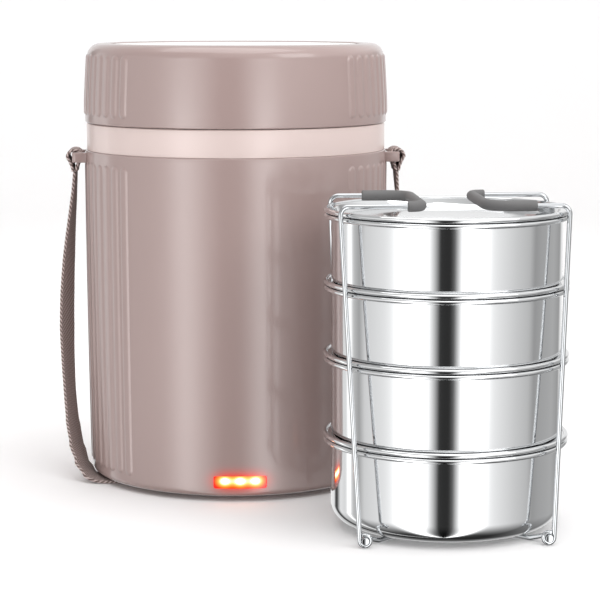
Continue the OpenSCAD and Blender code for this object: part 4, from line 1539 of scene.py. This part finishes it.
@dataclass
class Carrier:
    """The wire carrier: its crossed base with four pins, two arms and their grips.

    Attributes:
        wire_r: Radius of the wire.
        reach: Distance along X and along Y at which the base bends up.
        hinge_x: Place of a hook along X.
        hinge_y: Place of a hook along Y.
        hinge_z: Height of the hinge line.
        pin_end_y: Where a hinge pin ends.
        hook_r: Radius of a hook.
        hook_open: Angle of a hook's gap, in degrees.
        top_x: Place of the arm's upper corner along X.
        top_y: Place of the arm's upper corner along Y.
        arm_z: Height of the arm's top wires.
        bend: Bend radius of the upper corner.
        grip_x: Place of the grip's bar.
        grip_bends: Bend radii at the front and at the rear of the grip.
        sleeve_r: Outer radius of the sleeve.
        sleeve_bore: Radius of its bore.
        sleeve_long: Length of sleeve on the front leg, from the bar.
        sleeve_short: Length of sleeve on the rear leg, from the bar.
        yaw: Turn of the carrier about the stack's axis, in degrees.
    """

    wire_r: float = 1.2
    reach: float = 36.0
    hinge_x: float = 43.5
    hinge_y: float = 46.0
    hinge_z: float = 3.7
    pin_end_y: float = 47.5
    hook_r: float = 2.45
    hook_open: float = 60.0
    top_x: float = 54.2
    top_y: float = 29.6
    arm_z: float = 159.1
    bend: float = 4.0
    grip_x: float = 15.5
    grip_bends: tuple[float, float] = (11.0, 6.0)
    sleeve_r: float = 2.6
    sleeve_bore: float = 1.25
    sleeve_long: float = 23.0
    sleeve_short: float = 7.0
    yaw: float = 1.0

    def build_base(self, shop: FinishShop, layout: Layout) -> bpy.types.Object:
        """Makes the two crossed wires whose ends are the hinge pins.

        Args:
            shop: Where its finish comes from.
            layout: Where the stack stands.

        Returns:
            The base.
        """
        parts = []
        for s in (1, -1):
            half = [(self.hinge_x, self.pin_end_y, self.hinge_z),
                    (self.hinge_x, self.hinge_y - 5, self.hinge_z), (self.reach, self.reach, self.wire_r)]
            corners = [(x, s * y, z) for x, y, z in half] + [(-x, -s * y, z) for x, y, z in reversed(half)]
            parts.append(rod(turned(bent_line(corners, [2.4, 4.0, 4.0, 2.4]), self.yaw), self.wire_r))
        for sx in (1, -1):
            for sy in (1, -1):
                y0, y1 = sorted((sy * self.pin_end_y, sy * (self.pin_end_y + 1.0)))
                head = [(sx * self.hinge_x, y, self.hinge_z) for y in stretch(y0, y1, 3)]
                parts.append(rod(turned(head, self.yaw), self.wire_r + 0.6, edge=0.25))
        return join_parts("carrier_wires", parts, shop.get(WIRE_STEEL), layout.stack)

    def grip_line(self, front: float, rear: float) -> list[Point3]:
        """Returns the grip's middle line from its front leg to its rear leg.

        Args:
            front: Length of its front leg, from its bar.
            rear: Length of its rear leg, from its bar.

        Returns:
            Points in millimetres.
        """
        x, y, z = self.grip_x, self.top_y, self.arm_z
        corners = [(x + front, -y, z), (x, -y, z), (x, y, z), (x + rear, y, z)]
        return bent_line(corners, self.grip_bends)

    def arm_line(self) -> list[Point3]:
        """Returns the right arm's middle line from one hook's end to the other's.

        Returns:
            Points in millimetres.
        """
        leg = self.top_x - self.bend - self.grip_x
        hook = [(self.hinge_x + x, -self.hinge_y, self.hinge_z + z)
                for x, z in arc(0.0, 0.0, self.hook_r, self.hook_open, 360.0, 30)]
        rise = bent_line([hook[-1], (self.top_x, -self.top_y, self.arm_z),
                          (self.grip_x + leg - 2.0, -self.top_y, self.arm_z)], [self.bend])
        half = hook + rise[1:]
        grip = self.grip_line(leg - 3.0, leg - 3.0)
        return half + grip + [(x, -y, z) for x, y, z in reversed(half)]

    def build_arm(self, name: str, turn: float, shop: FinishShop, layout: Layout) -> bpy.types.Object:
        """Makes one arm, turned about the stack's axis."""
        points, faces = rod(turned(self.arm_line(), turn + self.yaw), self.wire_r)
        return make_object(name, points, faces, shop.get(WIRE_STEEL), layout.stack)

    def build_grip(self, name: str, turn: float, shop: FinishShop, layout: Layout) -> bpy.types.Object:
        """Makes one arm's sleeve, turned about the stack's axis.

        Args:
            name: The object's name.
            turn: Its turn in degrees.
            shop: Where its finish comes from.
            layout: Where the stack stands.

        Returns:
            The sleeve.
        """
        line = turned(self.grip_line(self.sleeve_long, self.sleeve_short), turn + self.yaw)
        points, faces = rod(line, self.sleeve_r, 28, self.sleeve_bore, 0.6)
        return make_object(name, points, faces, shop.get(GRIP_VINYL), layout.stack)


# ---------------------------------------------------------------------------------------------
# Pieces shown with their CAD meshes
# ---------------------------------------------------------------------------------------------
CAD_FINISHES: dict[str, Finish] = {
    "neck_ring": COLLAR_ABS, "inner_pot": SHEET_STEEL, "insulation": FOAM, "heater_plate": CAST_ALUMINIUM,
    "heater_element": MICA, "heater_clamp": SHEET_STEEL, "clamp_nuts": ZINC, "thermostat": BLACK_PC,
    "thermal_fuse": MICA, "base_cover": SHELL_ABS, "rubber_feet": RUBBER, "base_screws": ZINC,
    "power_inlet": BLACK_PC, "inlet_pins": BRASS, "indicator_board": BOARD, "inner_wires": WIRE_COVER,
    "lid_insulation": FOAM, "lid_liner": SHEET_STEEL, "lid_gasket": SILICONE,
}


def finish_cad_nodes(nodes: dict[str, bpy.types.Object], shop: FinishShop) -> None:
    """Gives the CAD meshes that are shown as they are their finishes.

    Args:
        nodes: The frame's nodes by name.
        shop: Where the finishes come from.
    """
    for name, finish in CAD_FINISHES.items():
        mesh = nodes[name].data
        mesh.materials.clear()
        mesh.materials.append(shop.get(finish, 1 if finish is SHEET_STEEL else 0))


# ---------------------------------------------------------------------------------------------
# The studio
# ---------------------------------------------------------------------------------------------
@dataclass
class Studio:
    """Camera, paper sweep, softboxes and the room's light panels.

    Attributes:
        camera_at: The camera's place in millimetres.
        tilt: How far it looks down, in degrees.
        pan: How far it looks to the left, in degrees; a negative number looks right.
        focal_px: Focal length in pixels of the photograph.
        picture_px: Width of the photograph in pixels.
        overhead_w: Power of the softbox above, in watts.
        fill_w: Power of the softbox at the right, in watts.
        brightest: What a full step of the panels' ramp stands for.
        panels: Angle from the camera's side in degrees, positive to the right, and brightness there.
        upper: Brightness of the room above the panels.
        lean: How much brighter than that its right is, and how much darker its left.
        upper_from: Upward part of a direction where the upper room starts to show.
        upper_full: Upward part of a direction where only the upper room shows.
        strips: Angle, width in degrees and power of each low strip light.
    """

    camera_at: Point3 = (-57.03, -1087.27, 251.87)
    tilt: float = 7.90
    pan: float = -2.8
    focal_px: float = 2120.0
    picture_px: float = 600.0
    sensor_mm: float = 36.0
    overhead_w: float = 11.5
    fill_w: float = 4.0
    brightest: float = 1.6
    panels: tuple[Point2, ...] = (
        (-180, 0.95), (-153, 0.95), (-148, 0.06), (-142, 0.10), (-134, 1.0), (-112, 0.74), (-100, 0.46),
        (-92, 0.82), (-69, 1.0), (-48, 1.28), (-38, 1.5), (-24, 1.45), (-16, 0.70), (-10, 0.04), (0, 0.03),
        (4, 0.11), (10, 0.84), (16, 1.35), (30, 1.4), (43, 1.12), (56, 0.94), (70, 0.77), (86, 0.63),
        (94, 0.40), (104, 0.46), (128, 0.51), (146, 0.38), (155, 0.95), (180, 0.95))
    upper: float = 0.83
    lean: float = 0.27
    upper_from: float = 0.18
    upper_full: float = 0.40
    strips: tuple[Point3, ...] = ((-116.0, 4.0, 1.0), (-38.0, 12.0, 2.4), (24.0, 10.0, 2.6))

    def build_camera(self) -> bpy.types.Object:
        """Makes the camera at the photograph's place.

        Returns:
            The camera.
        """
        data = bpy.data.cameras.new("camera")
        data.sensor_width = self.sensor_mm
        data.lens = self.focal_px / self.picture_px * self.sensor_mm
        data.clip_start = 0.05
        data.clip_end = 20.0
        camera = bpy.data.objects.new("camera", data)
        camera.location = Vector(self.camera_at) * MM
        camera.rotation_euler = (math.radians(90.0 - self.tilt), 0.0, math.radians(self.pan))
        bpy.context.scene.collection.objects.link(camera)
        bpy.context.scene.camera = camera
        return camera

    def build_sweep(self, shop: FinishShop) -> bpy.types.Object:
        """Makes the floor, which curves up behind the set.

        Args:
            shop: Where its finish comes from.

        Returns:
            The sweep.
        """
        front, back, bend, top, half_w = -3500.0, 1500.0, 700.0, 3500.0, 4500.0
        line = [(front, 0.0), (back, 0.0)] + arc(back, bend, bend, -90, 0, 24) + [(back + bend, top)]
        points = [(x, y, z) for x in (-half_w, half_w) for y, z in line]
        count = len(line)
        faces: Faces = [(i, i + count, i + count + 1, i + 1) for i in range(count - 1)]
        return make_object("paper_sweep", points, faces, shop.get(PAPER))

    def build_light(self, name: str, place: Point3, aim: Point3, size: Point2, power: float) -> None:
        """Adds one softbox.

        Args:
            name: The light's name.
            place: Where it hangs, in millimetres.
            aim: What it points at, in millimetres.
            size: Its width and height in millimetres.
            power: Its power in watts.
        """
        data = bpy.data.lights.new(name, "AREA")
        data.shape = "RECTANGLE"
        data.size, data.size_y = size[0] * MM, size[1] * MM
        data.energy = power
        light = bpy.data.objects.new(name, data)
        light.location = Vector(place) * MM
        light.rotation_euler = (Vector(aim) - Vector(place)).to_track_quat("-Z", "Y").to_euler()
        bpy.context.scene.collection.objects.link(light)

    def build_world(self) -> None:
        """Fills the room with light panels, and shows white paper to the camera beyond the sweep."""
        world = bpy.data.worlds.new("room")
        bpy.context.scene.world = world
        world.use_nodes = True
        sheet = NodeSheet(world.node_tree)
        split = sheet.add("ShaderNodeSeparateXYZ", {0: sheet.add("ShaderNodeTexCoord").outputs["Generated"]})
        azimuth = sheet.maths("ARCTAN2", split.outputs[0], sheet.maths("MULTIPLY", split.outputs[1], -1.0))
        azimuth = sheet.maths("SUBTRACT", azimuth, math.radians(self.pan))
        part = sheet.add("ShaderNodeMapRange", {"Value": azimuth, "From Min": -math.pi, "From Max": math.pi})
        ramp = sheet.add("ShaderNodeValToRGB", {0: part.outputs[0]})
        self.fill_ramp(ramp.color_ramp, self.panels)
        down = sheet.add("ShaderNodeMapRange", {
            "Value": split.outputs[2], "From Min": -0.92, "From Max": -0.30, "To Min": 0.06, "To Max": 1.0})
        power = sheet.maths("MULTIPLY", ramp.outputs[0], self.brightest)
        power = sheet.maths("MULTIPLY", power, down.outputs[0])
        side = sheet.maths("MULTIPLY", sheet.maths("SINE", azimuth), self.lean)
        side = sheet.maths("ADD", side, self.upper)
        high = sheet.add("ShaderNodeMapRange", {
            "Value": split.outputs[2], "From Min": self.upper_from, "From Max": self.upper_full})
        power = sheet.add("ShaderNodeMix", {0: high.outputs[0], 2: power, 3: side}).outputs[0]
        power = sheet.maths("ADD", power, self.strip_light(sheet, azimuth, split.outputs[2]))
        room = sheet.add("ShaderNodeBackground", {"Color": (1.0, 1.0, 1.0, 1.0), "Strength": power})
        paper = sheet.add("ShaderNodeBackground", {"Color": (1.0, 1.0, 1.0, 1.0), "Strength": 1.0})
        seen = sheet.add("ShaderNodeLightPath").outputs["Is Camera Ray"]
        both = sheet.add("ShaderNodeMixShader", {0: seen, 1: room.outputs[0], 2: paper.outputs[0]})
        sheet.add("ShaderNodeOutputWorld", {"Surface": both.outputs[0]})

    def strip_light(self, sheet: NodeSheet, azimuth: bpy.types.NodeSocket,
                    rise: bpy.types.NodeSocket) -> bpy.types.NodeSocket:
        """Adds up the low strip lights that draw the upright highlights.

        Args:
            sheet: The world's nodes.
            azimuth: Angle from the camera's side in radians.
            rise: Upward part of the direction.

        Returns:
            The strips' power in that direction.
        """
        total: Any = 0.0
        for middle, width, power in self.strips:
            away = sheet.maths("SUBTRACT", azimuth, math.radians(middle))
            away = sheet.maths("DIVIDE", away, math.radians(width))
            fall = sheet.maths("EXPONENT", sheet.maths("MULTIPLY", sheet.maths("MULTIPLY", away, away), -1.0))
            total = sheet.maths("ADD", total, sheet.maths("MULTIPLY", fall, power))
        low = sheet.add("ShaderNodeMapRange", {
            "Value": rise, "From Min": 0.02, "From Max": 0.16, "To Min": 1.0, "To Max": 0.0})
        return sheet.maths("MULTIPLY", total, low.outputs[0])

    def fill_ramp(self, ramp: bpy.types.ColorRamp, panels: Sequence[Point2]) -> None:
        """Writes the panels' brightness into a ramp.

        Args:
            ramp: The ramp, over a full turn that starts and ends behind the set.
            panels: Angle from the camera's side in degrees, positive to the right, and brightness there.
        """
        for number, (degrees, power) in enumerate(panels):
            place = (degrees + 180.0) / 360.0
            stop = ramp.elements[number] if number < 2 else ramp.elements.new(place)
            stop.position = place
            level = power / self.brightest
            stop.color = (level, level, level, 1.0)

    def build(self, shop: FinishShop) -> None:
        """Makes the whole studio.

        Args:
            shop: Where its finish comes from.
        """
        self.build_camera()
        self.build_world()
        sweep = self.build_sweep(shop)
        sweep.visible_glossy = False
        self.build_light("overhead", (-100, -150, 1600), (10, 0, 0), (1700, 1300), self.overhead_w)
        self.build_light("right_fill", (900, -800, 900), (-20, 0, 90), (700, 700), self.fill_w)


# ---------------------------------------------------------------------------------------------
# The whole set
# ---------------------------------------------------------------------------------------------
def stand_for(obj: bpy.types.Object, body: str, nodes: Sequence[str]) -> None:
    """Lets a piece move with a body in place of its CAD nodes.

    Args:
        obj: The piece.
        body: The body that it moves with.
        nodes: The CAD nodes that it stands for.
    """
    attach(obj, body)
    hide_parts(*nodes)
    LOG.info("%s: %d faces, stands for %s", obj.name, len(obj.data.polygons), ", ".join(nodes))


def build_jar(shop: FinishShop, layout: Layout, repeater: Repeater) -> None:
    """Builds the jar's shell, collar, ears and indicator.

    Args:
        shop: Where the finishes come from.
        layout: Where the jar stands.
        repeater: Puts equal parts at their places.
    """
    shell = JarShell()
    stand_for(shell.build(shop, layout), "jar", ["outer_shell"])
    stand_for(Collar().build(shop, layout), "jar", ["collar_ring"])
    for name, side in (("left", -1), ("right", 1)):
        stand_for(Ear().build(f"ear_{name}", side, shop, layout), "jar", [f"strap_ear_{name}"])
    indicator = Indicator(shell)
    stand_for(indicator.build_lens(shop, layout), "jar", ["indicator_lens"])
    stand_for(indicator.build_lamps(shop, layout, repeater), "jar", ["indicator_lamps"])


def build_strap(shop: FinishShop, layout: Layout) -> None:
    """Args:
        shop: Where its finish comes from.
        layout: Where the jar stands.
    """
    strap = Strap()
    for name, side in (("left", -1), ("right", 1)):
        loop = strap.build_loop(f"loop_{name}", side, shop, layout)
        stand_for(loop, "jar", [f"strap_loop_{name}"])
    free, path, length = strap.build_free(shop, layout)
    stand_for(free, "jar", ["strap"])
    LOG.info("strap: %.3f m of webbing", length)


def build_lid(shop: FinishShop, layout: Layout) -> None:
    """Builds the lid's cap and disc.

    Args:
        shop: Where the finishes come from.
        layout: Where the jar stands.
    """
    lid = Lid()
    stand_for(lid.build_cap(shop, layout), "lid", ["lid_cap"])
    stand_for(lid.build_disc(shop, layout), "lid", ["lid_disc"])


def build_stack(shop: FinishShop, layout: Layout, repeater: Repeater) -> None:
    """Builds the containers and their carrier.

    Args:
        shop: Where the finishes come from.
        layout: Where the stack stands.
        repeater: Puts equal parts at their places.
    """
    for piece, nodes in Containers().build(shop, layout, repeater):
        stand_for(piece, "stack", nodes)
    carrier = Carrier()
    stand_for(carrier.build_base(shop, layout), "stack", ["carrier_base"])
    for name, turn in (("right", 0.0), ("left", 180.0)):
        arm = carrier.build_arm(f"{name}_arm_wire", turn, shop, layout)
        stand_for(arm, f"{name}_arm", [f"arm_{name}"])
        grip = carrier.build_grip(f"{name}_sleeve", turn, shop, layout)
        stand_for(grip, f"{name}_arm", [f"grip_{name}"])


def main() -> None:
    """Builds the set round its frame, piece by piece."""
    logging.basicConfig(level=logging.INFO, format="%(message)s", stream=sys.stdout)
    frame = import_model()
    layout = Layout()
    jar, stack = layout.jar, layout.stack
    glow_at = Vector(jar) - Vector((0.0, LAMP_GLOW_STEP, 0.0))
    lamps = [tuple((glow_at + Vector(p)) * MM) for p in Indicator().lamps()]
    shop = FinishShop([(stack[0] * MM, stack[1] * MM), (jar[0] * MM, jar[1] * MM)], lamps)
    repeater = Repeater()
    Studio().build(shop)
    build_strap(shop, layout)
    build_jar(shop, layout, repeater)
    build_lid(shop, layout)
    build_stack(shop, layout, repeater)
    finish_cad_nodes(frame["nodes"], shop)
    scene = bpy.context.scene
    scene.view_settings.view_transform = "Standard"


if __name__ == "__main__":
    main()
